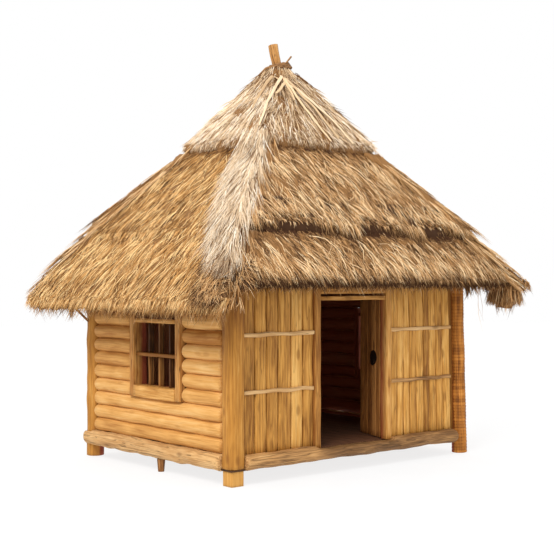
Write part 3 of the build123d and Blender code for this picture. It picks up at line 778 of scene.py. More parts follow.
def plank_panel(node, name, count, tone, lean=0.0):
    """A wall of split boards that lean more and more towards the last one, with cover strips inside."""
    (low, high), *strips = sorted(solid_boxes(node), key=lambda box: box[0][0])
    for strip in strips:
        closing = Pile(f"{name}_closing")
        # The recessed closing strip is made dark as painted shade in its gap beside the post.
        timber(closing, *strip, corner=0.004, tone=0.1)
        closing.build(plank_wood, "plank_wood", node, indoor_shaded=False)
    pile = Pile(name)
    random = pile.random
    cuts = np.cumsum(random.uniform(0.85, 1.15, count))
    edges = low[0] + (high[0] - low[0]) * np.concatenate(([0], cuts / cuts[-1]))
    depth = high[1] - low[1]
    y = (low[1] + high[1]) / 2
    inner_y = y - np.sign(y) * (depth - cover_depth) / 2

    def upright(x, y):
        shift = lean * (x - low[0]) / (high[0] - low[0])
        return (x, y, low[2]), (x + shift, y, high[2])

    for left, right in zip(edges, edges[1:]):
        section = board_section(right - left - board_gap, depth, corner=0.014, crown=0.006)
        shade = np.clip(random.normal(tone, 0.16), 0.1, 0.9)
        sweep(pile, section, upright((left + right) / 2, y), x_axis,
              step=0.16, bumps=0.003, dome=0.004, tone=shade, wander=0.003)
    for joint in edges[1:-1]:
        section = board_section(cover_width, cover_depth, corner=0.002)
        sweep(pile, section, upright(joint, inner_y), x_axis, step=1.0, dome=0.004, tone=0.1)
    pile.build(plank_wood, "plank_wood", node)


def battens():
    """The thin sticks laid across the boards."""
    pile = Pile("battens")
    for low, high in solid_boxes("wall_battens"):
        timber(pile, low, high, corner=0.011, bumps=0.004, wander=0.004)
    pile.build(batten_wood, "batten_wood", "wall_battens")


def doorway():
    """The jambs, the lintel and the head board."""
    pile = Pile("door_surround")
    # The left jamb is darker and the right one paler, as painted shade and painted light on the two sides of
    # the doorway.
    tones = {"door_jambs": (0.36, 0.6), "door_lintel": (0.5,), "door_head": (0.45,)}
    for node, shades in tones.items():
        boxes = sorted(solid_boxes(node), key=lambda box: box[0][0])
        for (low, high), shade in zip(boxes, shades):
            timber(pile, low, high, corner=0.008, bumps=0.002, tone=shade)
    pile.build(rail_wood, "rail_wood", "door_jambs", "door_lintel", "door_head")


def door_leaf(joint, side):
    """A leaf of upright boards, in the plane that it stands open in."""
    node = f"{side}_door_leaf"
    pivot = np.array(joint["pos_m"])
    opened = math.radians(max(joint["range_deg"]))
    hand = 1 if side == "left" else -1
    run = np.array((hand * math.cos(opened), math.sin(opened), 0))
    points = node_points(node)
    along = (points - pivot) @ run
    board = along.max() / leaf_boards
    slack = 0.002
    free_edge = points[along > along.max() - slack]
    depth = np.ptp((free_edge - pivot) @ np.array((-run[1], run[0], 0)))
    levels = np.unique(np.round(points[:, 2], 4))
    bottom = levels[levels > levels[0] + slack][0]
    top = levels[levels < levels[-1] - slack][-1]
    pile = Pile(f"{side}_leaf_boards")
    section = board_section(board - leaf_board_gap, depth, corner=0.006)
    for place in range(leaf_boards):
        x, y, _ = pivot + run * board * (place + 0.5)
        sweep(pile, section, ((x, y, bottom), (x, y, top)), run, step=0.1, bumps=0.0015, dome=0.003)
    pile.build(door_wood, "door_wood", node, body=f"{side}_leaf", indoor_shaded=False)


# Thatch


@dataclass
class Slope:
    """How the straw lies on one slope of a course: lengths in metres, the lean in radians."""

    stuff: bpy.types.Material
    tone: float = 0.45
    hang: tuple = (-0.02, 0.05)
    drip: tuple = (0.04, 0.09)
    drip_tone: float = 0.2
    lean: float = 0.0
    lobes: tuple = ()
    density_share: float = 1.0
    spike_share: float = 1.0
    head_shade: float = 0.3
    edge_shade: float = 0.0
    stray_share: float = 0.1
    contrast: float = 0.22

    def shade(self, share, head, edge):
        """How much painted shade darkens the straw under the course above and at its own lower edge."""
        under = np.clip(2 - (share - head) / head_fade_share, 0, 1)
        low = np.clip(1 - (edge - share) / edge_fade_share, 0, 1)
        return self.head_shade * under + self.edge_shade * low

    def thickening(self):
        """How much wider the strands are where fewer of them have to cover the slope."""
        return self.density_share**-0.35


def thatch_faces(node, least_upright, most_upright):
    """Corners, normals and areas of a thatch node's faces, chosen by how much they look up."""
    corners = node_points(node)[node_triangles(node)]
    cross = np.cross(corners[:, 1] - corners[:, 0], corners[:, 2] - corners[:, 0])
    size = np.linalg.norm(cross, axis=1)
    upright = cross[:, 2] / np.maximum(size, 1e-12)
    keep = (upright > least_upright) & (upright < most_upright)
    return corners[keep], cross[keep] / size[keep, None], size[keep] / 2


def lower_faces(node):
    """The faces of a thatch node that look down or hang at its lip."""
    return thatch_faces(node, -0.95, 0.2)


def upper_faces(node):
    """The faces of a thatch node that take the weather."""
    return thatch_faces(node, 0.3, 0.95)


def scatter(faces, count, random):
    """Evenly strewn places on the faces in a mixed order, with the normal at each."""
    corners, normals, areas = faces
    number = random.permutation(count)
    chosen = np.searchsorted(np.cumsum(areas) / areas.sum(), (number + random.random()) / (count + 1))
    start = random.random(2)
    jitter = random.normal(0, 0.002, (count, 2))
    first, second = ((number[:, None] * np.array(even_strides) + start + jitter) % 1).T
    over = first + second > 1
    first[over], second[over] = 1 - first[over], 1 - second[over]
    corner = corners[chosen]
    place = corner[:, 0] + first[:, None] * (corner[:, 1] - corner[:, 0])
    place = place + second[:, None] * (corner[:, 2] - corner[:, 0])
    return place, normals[chosen]


def downhill(normals):
    """The steepest way down each slope."""
    return unit(normals * normals[:, 2:] - up)


def turned(heading, normals, angle):
    """The headings turned about the normals."""
    side = np.cross(normals, heading)
    return heading * np.cos(angle)[:, None] + side * np.sin(angle)[:, None]


def within_slope(heading, normals):
    """The headings laid flat on their slopes."""
    return unit(heading - normals * (heading * normals).sum(1)[:, None])


def looks_aside(normals):
    """Which slopes face to the left or the right."""
    return np.abs(normals[:, 0]) > np.abs(normals[:, 1])


def roof_share(places, normals):
    """How far out a place on a slope is, from 0 at the peak to 1 at the eave."""
    out = np.abs(places[:, :2]) / roof_half
    return np.where(looks_aside(normals), out[:, 0], out[:, 1])


def way_out(places, normals, heading, edge):
    """How far each strand can run along its heading before it passes the course's edge."""
    paces = np.abs(heading[:, :2]) / roof_half
    pace = np.where(looks_aside(normals), paces[:, 0], paces[:, 1])
    return (edge - roof_share(places, normals)) / np.maximum(pace, 0.05)


def keep_inside(roots, tips):
    """Shortens the strands that would reach too far past the roof's plan."""
    run = tips[:, :2] - roots[:, :2]
    room = roof_half + straw_overrun - np.sign(run) * roots[:, :2]
    fit = np.clip(room / np.maximum(np.abs(run), 1e-6), 0, 1).min(1)
    return roots + (tips - roots) * fit[:, None]


def add_straws(pile, points, triangles, flat, tone):
    """Adds one straw for each row of points, with its own piece of the grain."""
    count, corners, _ = points.shape
    index = (np.arange(count) * corners)[:, None, None] + np.array(triangles)
    grain = flat + pile.random.uniform(-20, 20, (count, 1, 3))
    pile.add(points.reshape(-1, 3), index.reshape(-1, 3), grain.reshape(-1, 3), np.repeat(tone, corners), 0.0)


def lay_straw(pile, roots, normals, heading, length, width, lift, droop, curl, tone):
    """Adds a closed, tapered, three-sided strand for each root, which rises, curls and droops."""
    side = np.cross(heading, normals)
    bow = side * (curl * length)[:, None] - up * droop[:, None]
    tip = keep_inside(roots, roots + heading * length[:, None] + normals * lift[:, None] + bow)
    knee = roots + knee_share * (tip - roots) + normals * (0.2 * lift)[:, None] - 0.3 * bow
    half = side * (width / 2)[:, None]
    ridge = normals * (ridge_share * width)[:, None]
    points = np.stack((
        roots - half, roots + half, roots + ridge,
        knee - knee_width_share * half, knee + knee_width_share * half, knee + knee_width_share * ridge, tip,
    ), 1)
    triangles = (
        (0, 2, 1), (0, 1, 4), (0, 4, 3), (1, 2, 5), (1, 5, 4),
        (2, 0, 3), (2, 3, 5), (3, 4, 6), (4, 5, 6), (5, 3, 6),
    )
    flat = np.zeros(points.shape)
    flat[:, :, 0] = width[:, None] * np.array((-0.5, 0.5, 0, -0.5, 0.5, 0, 0))
    flat[:, :, 2] = length[:, None] * np.array((0, 0, 0, knee_share, knee_share, knee_share, 1))
    add_straws(pile, points, triangles, flat, tone)


def lay_spikes(pile, roots, normals, heading, length, width, lift, tone):
    """Adds a short, straight, closed straw for each root."""
    half = np.cross(heading, normals) * (width / 2)[:, None]
    tip = keep_inside(roots, roots + heading * length[:, None] + normals * lift[:, None])
    ridge = normals * (ridge_share * width)[:, None]
    points = np.stack((roots - half, roots + half, roots + ridge, tip), 1)
    flat = np.zeros(points.shape)
    flat[:, 3, 2] = length
    add_straws(pile, points, ((0, 2, 1), (0, 1, 3), (1, 2, 3), (2, 0, 3)), flat, tone)


def tufted(random, places, normals, strands, spread):
    """Repeats each place as a tuft, and gives each strand the number of its tuft."""
    tuft = np.repeat(np.arange(len(places)), strands)
    jitter = random.normal(0, spread, (len(tuft), 3))
    normals = normals[tuft]
    jitter -= normals * (jitter * normals).sum(1)[:, None]
    return places[tuft] + jitter, normals, tuft


def spread_by_tuft(random, tuft, by_tuft, by_strand):
    """A random amount for each strand, of which the strands of a tuft share a part."""
    return random.normal(0, by_tuft, tuft[-1] + 1)[tuft] + random.normal(0, by_strand, len(tuft))


def streaks(random, places, normals):
    """Patches, and narrow streaks down the slope, about -1 to 1."""
    across = np.where(looks_aside(normals), places[:, 1], places[:, 0])
    drawn = np.column_stack((across / streak_width, places[:, 2] / streak_length, 0 * across))
    return 0.5 * unevenness(random, places, patch_pitch) + 0.8 * unevenness(random, drawn, 1.0)


def lobed(across, lobes):
    """How much further a course hangs in its lobes, each of which grows from its start to its end."""
    drop = np.zeros(len(across))
    for start, end in lobes:
        grown = (across - start) / (end - start)
        drop += np.where((grown >= 0) & (grown < 1), lobe_drop * (grown - lobe_middle_share), 0)
    return drop


def lay_cover(pile, faces, look, across, head, edge, radial):
    """The long straw of a slope, in tufts, with more of them at its head and beside the hips."""
    random = pile.random
    count = int(faces[2].sum() * slope_density * look.density_share / per_tuft)
    places, slopes = scatter(faces, int(cover_share * count), random)
    outs = np.abs(places[:, :2]) / roof_half
    thin = roof_share(places, slopes) < head + head_cover_share
    thin |= np.abs(outs[:, 0] - outs[:, 1]) < hip_cover_share
    kept = thin | (np.arange(len(places)) < count)
    places, slopes = places[kept], slopes[kept]
    streak = streaks(random, places, slopes)
    roots, slope, tuft = tufted(random, places, slopes, per_tuft, tuft_spread)
    heading = within_slope(roots - roof_peak, slope) if radial else downhill(slope)
    flow = look.lean + 0.2 * unevenness(random, places, 0.5) + random.normal(0, 0.1, len(places))
    stray = random.normal(0, 0.5, len(roots)) * (random.random(len(roots)) < look.stray_share)
    heading = turned(heading, slope, flow[tuft] + random.normal(0, 0.1, len(roots)) + stray)
    length = random.uniform(0.8, 1.2, len(places))[tuft] * random.uniform(*strand_lengths, len(roots))
    overhang = random.uniform(*look.hang, len(places))[tuft] + random.uniform(0, 0.03, len(roots))
    overhang += lobed(roots[:, across], look.lobes)
    room = way_out(roots, slope, heading, edge)
    length = np.maximum(np.minimum(length, room + overhang), least_strand)
    tips = roots + heading * length[:, None]
    over_hip = (np.abs(tips[:, :2]) / roof_half).max(1) > roof_share(tips, slope) + 0.02
    length = np.where(over_hip, 0.4 * length, length)
    width = look.thickening() * random.uniform(*strand_widths, len(roots))
    rise = random.random(len(roots))
    lift = (0.004 + 0.045 * rise) * np.clip(1 + 0.4 * streak, 0.4, 1.6)[tuft]
    droop = np.clip(length - room, 0, None) * random.uniform(0.2, 0.8, len(roots))
    curl = random.normal(0, 0.12, len(roots)) + 0.6 * look.lean
    # Strands that lie lower are darker and raised ones paler, as painted shade and painted light in the
    # straw's depth.
    tone = look.tone + 0.09 * streak[tuft] + 0.34 * (rise - 0.5)
    tone += spread_by_tuft(random, tuft, look.contrast, 0.15)
    tone -= look.shade(roof_share(roots, slope), head, edge)
    lay_straw(pile, roots - slope * root_depth, slope, heading, length, width, lift, droop, curl, tone)


def lay_stubble(pile, faces, look, head, edge):
    """The short dark straw that fills a slope between the long strands."""
    random = pile.random
    places, slopes = scatter(faces, int(faces[2].sum() * spike_density * look.spike_share), random)
    streak = streaks(random, places, slopes)
    heading = turned(downhill(slopes), slopes, look.lean + random.normal(0, 0.35, len(places)))
    length = random.uniform(*spike_lengths, len(places))
    length = np.minimum(length, way_out(places, slopes, heading, edge) + 0.03)
    width = random.uniform(*spike_widths, len(places))
    tone = look.tone - 0.25 + 0.09 * streak + random.normal(0, look.contrast, len(places))
    tone -= look.shade(roof_share(places, slopes), head, edge)
    lay_spikes(pile, places, slopes, heading, length, width, random.uniform(*spike_lifts, len(places)), tone)


def lay_fringe(pile, look, across, rim, normal):
    """The ragged straw that drips from the lower edge of a slope, darker as painted shade where it hangs
    further in.
    """
    random = pile.random
    start, end = rim[rim[:, across].argmin()], rim[rim[:, across].argmax()]
    tufts = int(np.linalg.norm(end - start) * fringe_density * look.density_share / per_tuft)
    places = start + random.random(tufts)[:, None] * (end - start)
    roots, slope, tuft = tufted(random, places, np.broadcast_to(normal, places.shape), per_tuft, tuft_spread)
    fall = downhill(slope)
    above = random.uniform(0, 0.09, len(roots))
    roots = roots + fall * (lobed(roots[:, across], look.lobes) - above)[:, None]
    depth = random.random(len(places))[tuft]
    roots = roots - slope * (fringe_depth * depth)[:, None]
    plunge = random.uniform(0.4, 1.4, len(places))[tuft] + random.normal(0, 0.12, len(roots))
    outward = unit(slope * np.array((1, 1, 0)) + up * 0.35)
    heading = turned(unit(fall - up * plunge[:, None]), outward, spread_by_tuft(random, tuft, 0.14, 0.1))
    length = random.uniform(0.7, 1.3, len(places))[tuft] * random.uniform(*look.drip, len(roots))
    length = length + 0.05 + 0.03 * depth
    width = look.thickening() * random.uniform(*fringe_widths, len(roots))
    lift = random.uniform(-0.02, 0.03, len(roots))
    # Deeper strands of the fringe are darker as painted shade.
    tone = look.drip_tone + 0.6 * (0.5 - depth)
    tone += spread_by_tuft(random, tuft, 0.15, 0.12)
    lay_spikes(pile, roots, outward, heading, length, width, lift, tone)


def thatch_side(course, side, faces, look, radial):
    """The straw over one slope of a course, and the fringe at its lower edge."""
    corners, normals, areas = faces
    pile = Pile(f"{course}_straw_{side}")
    across = 1 if side in ("left", "right") else 0
    outline = corners.reshape(-1, 3)
    shares = roof_share(outline, np.repeat(normals, 3, 0))
    head, edge = shares.min(), shares.max()
    lay_cover(pile, faces, look, across, head, edge, radial)
    lay_stubble(pile, faces, look, head, edge)
    lay_fringe(pile, look, across, outline[shares > edge - 0.002], normals[areas.argmax()])
    pile.build(look.stuff, "thatch", smooth=False)


def roof_grain(points):
    """Grain across and down the slopes."""
    out = np.abs(points[:, :2]) / roof_half
    on_side = out[:, 0] > out[:, 1]
    across = np.where(on_side, points[:, 1], points[:, 0])
    run = np.where(on_side, points[:, 0], points[:, 1])
    return np.column_stack((across, np.zeros(len(points)), np.hypot(run, points[:, 2])))


def thatch_course(course, node, looks, radial=False):
    """A course of thatch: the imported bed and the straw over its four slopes."""
    bed = Pile(f"{course}_bed")
    lip = -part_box(node)[0].y / roof_half[1]

    def tone(points):
        """Dark where the lobes of the front leave the lip bare, as a painted shadow under them."""
        at_lip = (-points[:, 1] / roof_half[1] > lip - 0.1) & bool(looks["front"].lobes)
        return np.where(at_lip, -0.15, 0.35)

    worn_copy(bed, node, voxel=0.06, wear=0.015, pitch=0.25, grain_of=roof_grain, tone=tone)
    bed.build(shaded_thatch_bed, "thatch", node)
    corners, normals, areas = upper_faces(node)
    on_side = looks_aside(normals)
    sides = {
        "left": on_side & (normals[:, 0] < 0),
        "right": on_side & (normals[:, 0] > 0),
        "front": ~on_side & (normals[:, 1] < 0),
        "rear": ~on_side & (normals[:, 1] > 0),
    }
    for side, keep in sides.items():
        faces = (corners[keep], normals[keep], areas[keep])
        thatch_side(course, side, faces, looks[side], radial)


def eave_underside():
    """Rough straw under the eaves, outside the walls, and down the bundle at the right corner."""
    faces = lower_faces("lower_thatch")
    pile = Pile("underside_straw")
    random = pile.random
    places, slopes = scatter(faces, int(faces[2].sum() * underside_density), random)
    outside = (np.abs(places[:, 0]) > room_half_x) | (np.abs(places[:, 1]) > room_half_y)
    places, slopes = places[outside], slopes[outside]
    heading = turned(downhill(slopes), slopes, random.normal(0, 0.25, len(places)))
    length = random.uniform(0.08, 0.2, len(places))
    width = random.uniform(*fringe_widths, len(places))
    lift = random.uniform(0.005, 0.04, len(places))
    lay_spikes(pile, places, slopes, heading, length, width, lift, random.normal(0.3, 0.2, len(places)))
    pile.build(straw, "thatch", smooth=False)


def ring_of(random, count):
    """Places strewn around a circle of radius 1."""
    angle = random.uniform(0, 2 * math.pi, count)
    return np.column_stack((np.cos(angle), np.sin(angle)))


def corner_bundle():
    """The thick tuft of straw that hangs at the front right corner."""
    low, high = min(solid_boxes("lower_thatch"), key=lambda box: np.ptp(box, axis=0).prod())
    pile = Pile("corner_bundle_straw")
    random = pile.random
    count = bundle_strands
    ring = ring_of(random, count)
    centre, half = (low + high) / 2, (high - low) / 2
    starts = centre[:2] + half[:2] * ring * random.uniform(0.5, 1.05, (count, 1))
    roots = np.column_stack((starts, random.uniform(centre[2], high[2], count)))
    outward = unit(np.column_stack((ring, np.full(count, 0.3))))
    aim = np.column_stack((centre[:2] + 0.45 * half[:2] * ring, np.full(count, low[2])))
    heading = within_slope(unit(aim - roots), outward)
    length = (roots[:, 2] - low[2]) * random.uniform(0.7, 1.02, count)
    width = random.uniform(*spike_widths, count)
    lift = random.uniform(-0.01, 0.02, count)
    tone = random.normal(0.3, 0.2, count)
    curl = random.normal(0, 0.08, count)
    lay_straw(pile, roots, outward, heading, length, width, lift, 0 * lift, curl, tone)
    pile.build(straw, "thatch", smooth=False)


def roof_level(spots):
    """The height of the thatch over each spot of the plan."""
    sky = 9
    level = np.zeros(len(spots))
    for node in ("lower_thatch", "middle_thatch", "cap_thatch", "hip_strips"):
        surface = BVHTree.FromPolygons(node_points(node).tolist(), node_triangles(node).tolist())
        for number, (x, y) in enumerate(spots):
            hit = surface.ray_cast((x, y, sky), (0, 0, -1))[0]
            if hit is not None:
                level[number] = max(level[number], hit.z)
    return level


def hip_ridge(hand_x, hand_y):
    """Shares and levels along the top of a hip, drawn straight over the steps between the courses."""
    places = np.concatenate([node_points(node) for node in ("hip_strips", "lower_thatch")])
    out = places[:, :2] * (hand_x, hand_y) / roof_half
    on_hip = (np.abs(out[:, 0] - out[:, 1]) < 0.03) & (out[:, 0] > 0.3)
    corners = sorted(zip(out[on_hip].mean(1), places[on_hip, 2]))
    ridge = []
    for share, level in corners:
        while len(ridge) > 1:
            (first, high), (second, low) = ridge[-2:]
            if (second - first) * (level - high) < (low - high) * (share - first):
                break
            ridge.pop()
        ridge.append((share, level))
    return np.array(ridge).T


def comb_hip(pile, hand_x, hand_y, count, run_shares, width_shares, widths, tone, bridged=False):
    """Straw combed down along a hip and a little out to both sides; widths are those on the two slopes.

    Bridged straw is thick enough to lie over the steps between the courses, and darkens at its lower end.
    """
    random = pile.random
    shares, levels = hip_ridge(hand_x, hand_y)
    share = random.uniform(run_shares[0], run_shares[-1], count)
    on_side = random.random(count) < widths[0] / sum(widths)
    width = np.where(on_side, *widths) * np.interp(share, run_shares, width_shares)
    aside = random.random(count)
    drop = (levels[0] - levels[-1]) / (shares[-1] - shares[0])
    out = np.array((hand_x, hand_y)) * roof_half
    away = np.where(on_side[:, None], (0, -hand_y, 0), (-hand_x, 0, 0))
    side_normal = unit(np.array((hand_x * drop, 0, roof_half[0])))
    front_normal = unit(np.array((0, hand_y * drop, roof_half[1])))
    blend = (0.5 + 0.5 * aside)[:, None]
    own = np.where(on_side[:, None], side_normal, front_normal)
    other = np.where(on_side[:, None], front_normal, side_normal)
    normals = unit(own * blend + other * (1 - blend))
    spots = share[:, None] * out + away[:, :2] * (aside * width)[:, None]
    least = np.interp(share, shares, levels) - (0.06 * aside**2 if bridged else 0.12)
    places = np.column_stack((spots, np.maximum(roof_level(spots), least)))
    streak = unevenness(random, np.column_stack((aside * width / 0.04, share / 0.2, on_side)), 1.0)
    roots, slope, tuft = tufted(random, places, normals, hip_per_tuft, hip_tuft_spread)
    along = unit(np.append(out, -drop))
    fan = 0.16 * aside + random.normal(0, 0.1, count)
    heading = along + away[tuft] * (fan[tuft] + random.normal(0, 0.1, len(roots)))[:, None]
    heading = within_slope(heading, slope)
    length = random.uniform(*hip_strand_lengths, len(roots))
    rest = (run_shares[-1] - share[tuft]) * np.hypot(np.linalg.norm(out), drop)
    length = np.maximum(np.minimum(length, rest + 0.1), 0.08)
    rise = random.random(len(roots))
    strand = random.uniform(*hip_strand_widths, len(roots))
    # Strands that lie lower are darker and raised ones paler, as painted shade and painted light in the
    # straw's depth.
    shade = tone + 0.14 * streak[tuft] + 0.4 * (rise - 0.5)
    shade += spread_by_tuft(random, tuft, 0.14, 0.14)
    if bridged:
        shade -= 0.35 * np.clip((share[tuft] - 0.8) / 0.12, 0, 1)
    head = np.clip((run_shares[0] + 0.06 - share[tuft]) / 0.06, 0, 1)
    curl = random.normal(0, 0.12, len(roots))
    droop = 0.02 * rise + 0.12 * head
    roots = roots + slope * (0.02 if bridged else -0.008)
    lay_straw(pile, roots, slope, heading, length, strand, 0.005 + 0.04 * rise, droop, curl, shade)


def hip_straw():
    """Straw over the four hips, and the band of fresh pale straw down the near one."""
    plain = Pile("hip_straw")
    for hand_x, hand_y in ((-1, -1), (-1, 1), (1, -1), (1, 1)):
        comb_hip(plain, hand_x, hand_y, hip_tufts, hip_shares, (1.0, 1.0), hip_widths, tone=0.42)
    plain.build(straw, "pale_straw", smooth=False)
    near = Pile("near_hip_straw")
    comb_hip(near, -1, -1, near_hip_tufts, near_hip_shares, near_hip_width_shares, near_hip_widths,
             tone=0.44, bridged=True)
    near.build(hip_straw_stuff, "pale_straw", smooth=False)
    bed = Pile("hip_bed")
    worn_copy(bed, "hip_strips", voxel=0.036, wear=0.008, pitch=0.2, grain_of=roof_grain, tone=0.4)
    bed.build(shaded_thatch_bed, "pale_straw", "hip_strips")


def between(values, limits):
    return (values > limits[0]) & (values < limits[1])


def loose_straw():
    """Dark curls at the near corner, tufts that hang under the eaves and a few long wisps."""
    pile = Pile("loose_straw")
    random = pile.random
    places, slopes = scatter(upper_faces("lower_thatch"), curl_places, random)
    share = roof_share(places, slopes)
    left = looks_aside(slopes) & (slopes[:, 0] < 0)
    front = ~looks_aside(slopes) & (slopes[:, 1] < 0)
    beside = np.where(left, places[:, 1] + roof_half[1] * share, places[:, 0] + roof_half[0] * share)
    curled = left & between(share, left_curl_shares) & between(beside, left_curl_reach)
    # On the front beside the hip's foot the curls are dark partly as painted shade in the hollow there.
    curled |= front & between(share, front_curl_shares) & between(beside, front_curl_reach)
    places, slopes = places[curled], slopes[curled]
    heading = turned(downhill(slopes), slopes, random.normal(0.2, 0.7, len(places)))
    length = random.uniform(0.1, 0.26, len(places))
    width = random.uniform(*curl_widths, len(places))
    golden = random.random(len(places)) < golden_curl_share
    lift = random.uniform(0.02, 0.07, len(places)) + 0.03 * golden
    tone = random.normal(-0.15, 0.12, len(places)) + 0.6 * golden
    curl = random.normal(0, 0.5, len(places))
    lay_straw(pile, places, slopes, heading, length, width, lift, 0.5 * lift, curl, tone)
    outward = unit(np.array((-0.65, -0.76, 0.0)))
    aside = np.array((0.76, -0.65, 0))
    for place, count, drop, width, tone in hanging_tufts:
        roots = np.array(place) + random.normal(0, 0.012, (count, 3))
        heading = unit(aside * random.normal(0, 0.14, (count, 1)) - up)
        length = random.uniform(0.5, 1, count) * drop
        strand = random.uniform(0.7, 1.3, count) * width
        shade = random.normal(tone, 0.15, count)
        lift = random.uniform(0, 0.02, count)
        curl = random.normal(0, 0.15, count)
        normals = np.broadcast_to(outward, (count, 3))
        lay_straw(pile, roots, normals, heading, length, strand, lift, 0 * lift, curl, shade)
    pile.build(straw, "thatch", smooth=False)


def smooth_path(path):
    """A smooth curve through the two or three points of a path."""
    pace = np.linspace(0, 1, 13)
    places = np.linspace(0, 1, len(path))
    fits = [np.polyfit(places, path[:, axis], len(path) - 1) for axis in range(3)]
    return np.column_stack([np.polyval(fit, pace) for fit in fits])


def cap_dressing():
    """Broad straw ties that fan out from the knot on the cap, and the straw collar around the stake."""
    pile = Pile("cap_straps")
    random = pile.random
    section = board_section(strap_width, strap_thickness, corner=0.005)
    for path in cap_straps:
        lifted = smooth_path(np.array(path) + np.array(strap_offset))
        lifted[:, 2] = np.maximum(lifted[:, 2], roof_level(lifted[:, :2]) + strap_lift)
        length = np.linalg.norm(lifted[-1] - lifted[0])
        sweep(pile, section, lifted, (0.76, -0.1, -0.1), step=0.05, bumps=0.002, dome=0.02,
              growth=lambda along: 1 - strap_taper_share * along / length,
              tone=random.uniform(0.35, 0.6), wander=0.006)
    count = collar_strands
    ring = ring_of(random, count)
    starts = ring * random.uniform(*collar_reach, (count, 1)) + collar_centre[:2]
    roots = np.column_stack((starts, random.uniform(0, 0.05, count) + collar_centre[2]))
    heading = unit(np.column_stack((ring * (0.62, 0.55), np.full(count, -0.78))))
    outward = unit(np.column_stack((ring * 0.78, np.full(count, 0.6))))
    heading = turned(heading, outward, random.normal(0, 0.1, count))
    length = random.uniform(0.16, 0.34, count)
    width = random.uniform(*curl_widths, count)
    lift = random.uniform(0.0, 0.03, count)
    tone = random.normal(0.42, 0.2, count)
    lay_straw(pile, roots, outward, heading, length, width, lift, 0.5 * lift, 0 * lift, tone)
    pile.build(pale_straw, "thatch", smooth=False)


def finial():
    """The leaning stake, and the vine wound round it where the cap's straw comes together."""
    (base, radius), (top, _) = rims("finial_stake", 0.04)
    pile = Pile("stake")
    sweep(pile, round_section(radius, 16), (base, top), x_axis, step=0.04, bumps=0.004, dome=0.008, tone=0.55)
    pile.build(stake_wood, "frame_wood", "finial_stake")
    low, high = (np.array(corner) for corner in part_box("cap_binding"))
    middle = (low + high) / 2
    cord = (high[2] - low[2]) / 2
    ring = (high[0] - low[0]) / 2 - cord
    ties = Pile("cap_ties")
    angles = np.linspace(0, 2 * math.pi * vine_turns, 110)
    climb = angles / angles[-1]
    tilt = vine_tilt * np.cos(angles + math.radians(40))
    for offset in (0.0, math.pi):
        twist = 8 * angles + offset
        out = ring * (1.4 - 0.5 * climb) + 0.4 * cord * np.cos(twist)
        level = middle[2] + 0.4 * cord * np.sin(twist) + vine_rise * climb + tilt
        path = np.column_stack((middle[0] + out * np.cos(angles), middle[1] + out * np.sin(angles), level))
        sweep(ties, round_section(0.62 * cord, 8), path, z_axis, step=0.03, bumps=0.001, dome=0.01, tone=0.55)
    section = round_section(vine_end_radius, 8)
    sweep(ties, section, vine_end, z_axis, step=0.03, bumps=0.002, dome=0.01, tone=0.6)
    ties.build(vine, "vine_cord", "cap_binding")


# Stage


def camera():
    lens = bpy.data.cameras.new("camera")
    lens.sensor_width = sensor_width
    lens.lens = sensor_width * focal_pixels / picture_width
    lens.shift_y = horizon_drop_pixels / picture_width
    holder = bpy.data.objects.new("camera", lens)
    holder.location = camera_place
    holder.rotation_euler = (math.pi / 2, 0, math.radians(camera_heading))
    bpy.context.scene.collection.objects.link(holder)
    bpy.context.scene.camera = holder


def key_light():
    """A soft light from the left, aimed at the middle of the hut."""
    lamp = bpy.data.lights.new("key", "AREA")
    lamp.size = key_size
    lamp.energy = key_power
    holder = bpy.data.objects.new("key", lamp)
    holder.location = key_place
    aim = Vector((0, 0, 2)) - Vector(key_place)
    holder.rotation_euler = aim.to_track_quat("-Z", "Y").to_euler()
    bpy.context.scene.collection.objects.link(holder)


def studio():
    """White surroundings and a pale floor."""
    scene = bpy.context.scene
    scene.view_settings.view_transform = "Standard"
    world = bpy.data.worlds.new("studio")
    world.use_nodes = True
    world.node_tree.nodes["Background"].inputs["Color"].default_value = (1, 1, 1, 1)
    world.node_tree.nodes["Background"].inputs["Strength"].default_value = 1.0
    scene.world = world
    ground = bpy.data.meshes.new("floor")
    corners = [(x * floor_reach, y * floor_reach, 0) for x, y in ((-1, -1), (1, -1), (1, 1), (-1, 1))]
    ground.from_pydata(corners, [], [(0, 1, 2, 3)])
    graph = Graph("pale_floor", 0.9)
    speck = graph.noise(graph.node("TexCoord").outputs["Object"], 3.0)
    graph.shader.inputs["Emission Color"].default_value = (1, 1, 1, 1)
    graph.shader.inputs["Emission Strength"].default_value = 0.8
    ground.materials.append(graph.finish(graph.ramp(speck, (0.0, 0.16), (1.0, 0.2)), speck, 0.0005))
    floor = bpy.data.objects.new("floor", ground)
    scene.collection.objects.link(floor)


def dress_node(node, material):
    """Gives a CAD node that stays its finish."""
    materials = frame["nodes"][node].data.materials
    materials.clear()
    materials.append(material)


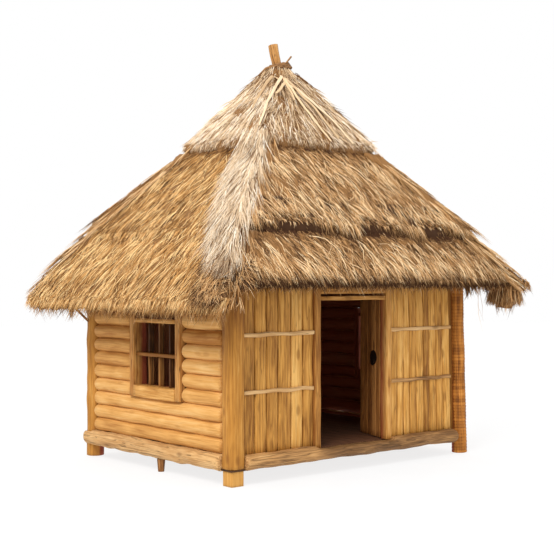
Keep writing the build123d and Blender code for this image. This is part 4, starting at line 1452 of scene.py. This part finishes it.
square_post()
bound_post()
round_post("rear_left_post", "rear_post_left")
round_post("rear_right_post", "rear_post_right")
sills()
for wall_side in ("left", "right"):
    log_wall(wall_side)
    window(wall_side)
post_foot, post_head = rims("front_right_post")
post_lean = post_head[0][0] - post_foot[0][0]
plank_panel("front_left_panel", "front_boards_left", left_panel_boards, tone=0.34)
plank_panel("front_right_panel", "front_boards_right", right_panel_boards, tone=0.45, lean=post_lean)
plank_panel("rear_panel", "rear_boards", rear_panel_boards, tone=0.5)
battens()
doorway()
for hinge in frame["joints"]:
    door_leaf(hinge, hinge["child"].split("_")[0])

far_side = {"density_share": hidden_share, "spike_share": hidden_spike_share}
hidden = Slope(straw, contrast=0.16, **far_side)
hidden_cap = Slope(pale_straw, tone=0.4, stray_share=0.02, **far_side)
thatch_course("lower", "lower_thatch", {
    "left": Slope(golden_straw, tone=0.52, hang=(-0.02, 0.04), drip=(0.05, 0.11), drip_tone=0.47,
                  head_shade=0.1),
    # On the front, the low drip_tone and the strong head_shade and edge_shade paint the shade along the eave
    # and under the middle course.
    "front": Slope(straw, tone=0.47, hang=(-0.02, 0.04), drip=(0.01, 0.05), drip_tone=-0.35, lean=0.3,
                   head_shade=0.8, edge_shade=0.55),
    "right": hidden,
    "rear": hidden,
})
thatch_course("middle", "middle_thatch", {
    "left": Slope(golden_straw, tone=0.47, hang=(0.0, 0.25), drip=(0.03, 0.1), drip_tone=0.42),
    # Here the dark drip_tone paints the shadow under the lobes.
    "front": Slope(straw, tone=0.42, hang=(-0.02, 0.05), drip=(0.03, 0.1), drip_tone=0.0, lean=0.18,
                   lobes=front_lobes),
    "right": hidden,
    "rear": hidden,
})
thatch_course("cap", "cap_thatch", {
    "left": Slope(pale_straw, tone=0.54, hang=(-0.04, 0.03), drip=(0.02, 0.06), drip_tone=0.3,
                  stray_share=0.02),
    "front": Slope(pale_straw, tone=0.4, hang=(-0.03, 0.05), drip=(0.02, 0.06), drip_tone=0.1,
                   stray_share=0.02, contrast=0.26),
    "right": hidden_cap,
    "rear": hidden_cap,
}, radial=True)
eave_underside()
corner_bundle()
hip_straw()
loose_straw()
cap_dressing()
finial()

dress_node("floor_deck", deck_boards("floor_boards", board_width=0.18, gap=0.008))
timbers = {
    "floor_joists": 0, "sill_legs": 2, "pivot_cleats": 0, "lower_plates": 1, "upper_plates": 0,
    "king_post": 2, "hip_rafters": 2, "jack_rafters": 2, "eave_brace": 2,
    "left_leaf_ledges": 1, "right_leaf_ledges": 1,
}
for node_name, grain_axis in timbers.items():
    dress_node(node_name, frame_wood[grain_axis])
for leaf_side in ("left", "right"):
    dress_node(f"{leaf_side}_door_pull", ring_iron)

camera()
key_light()
studio()
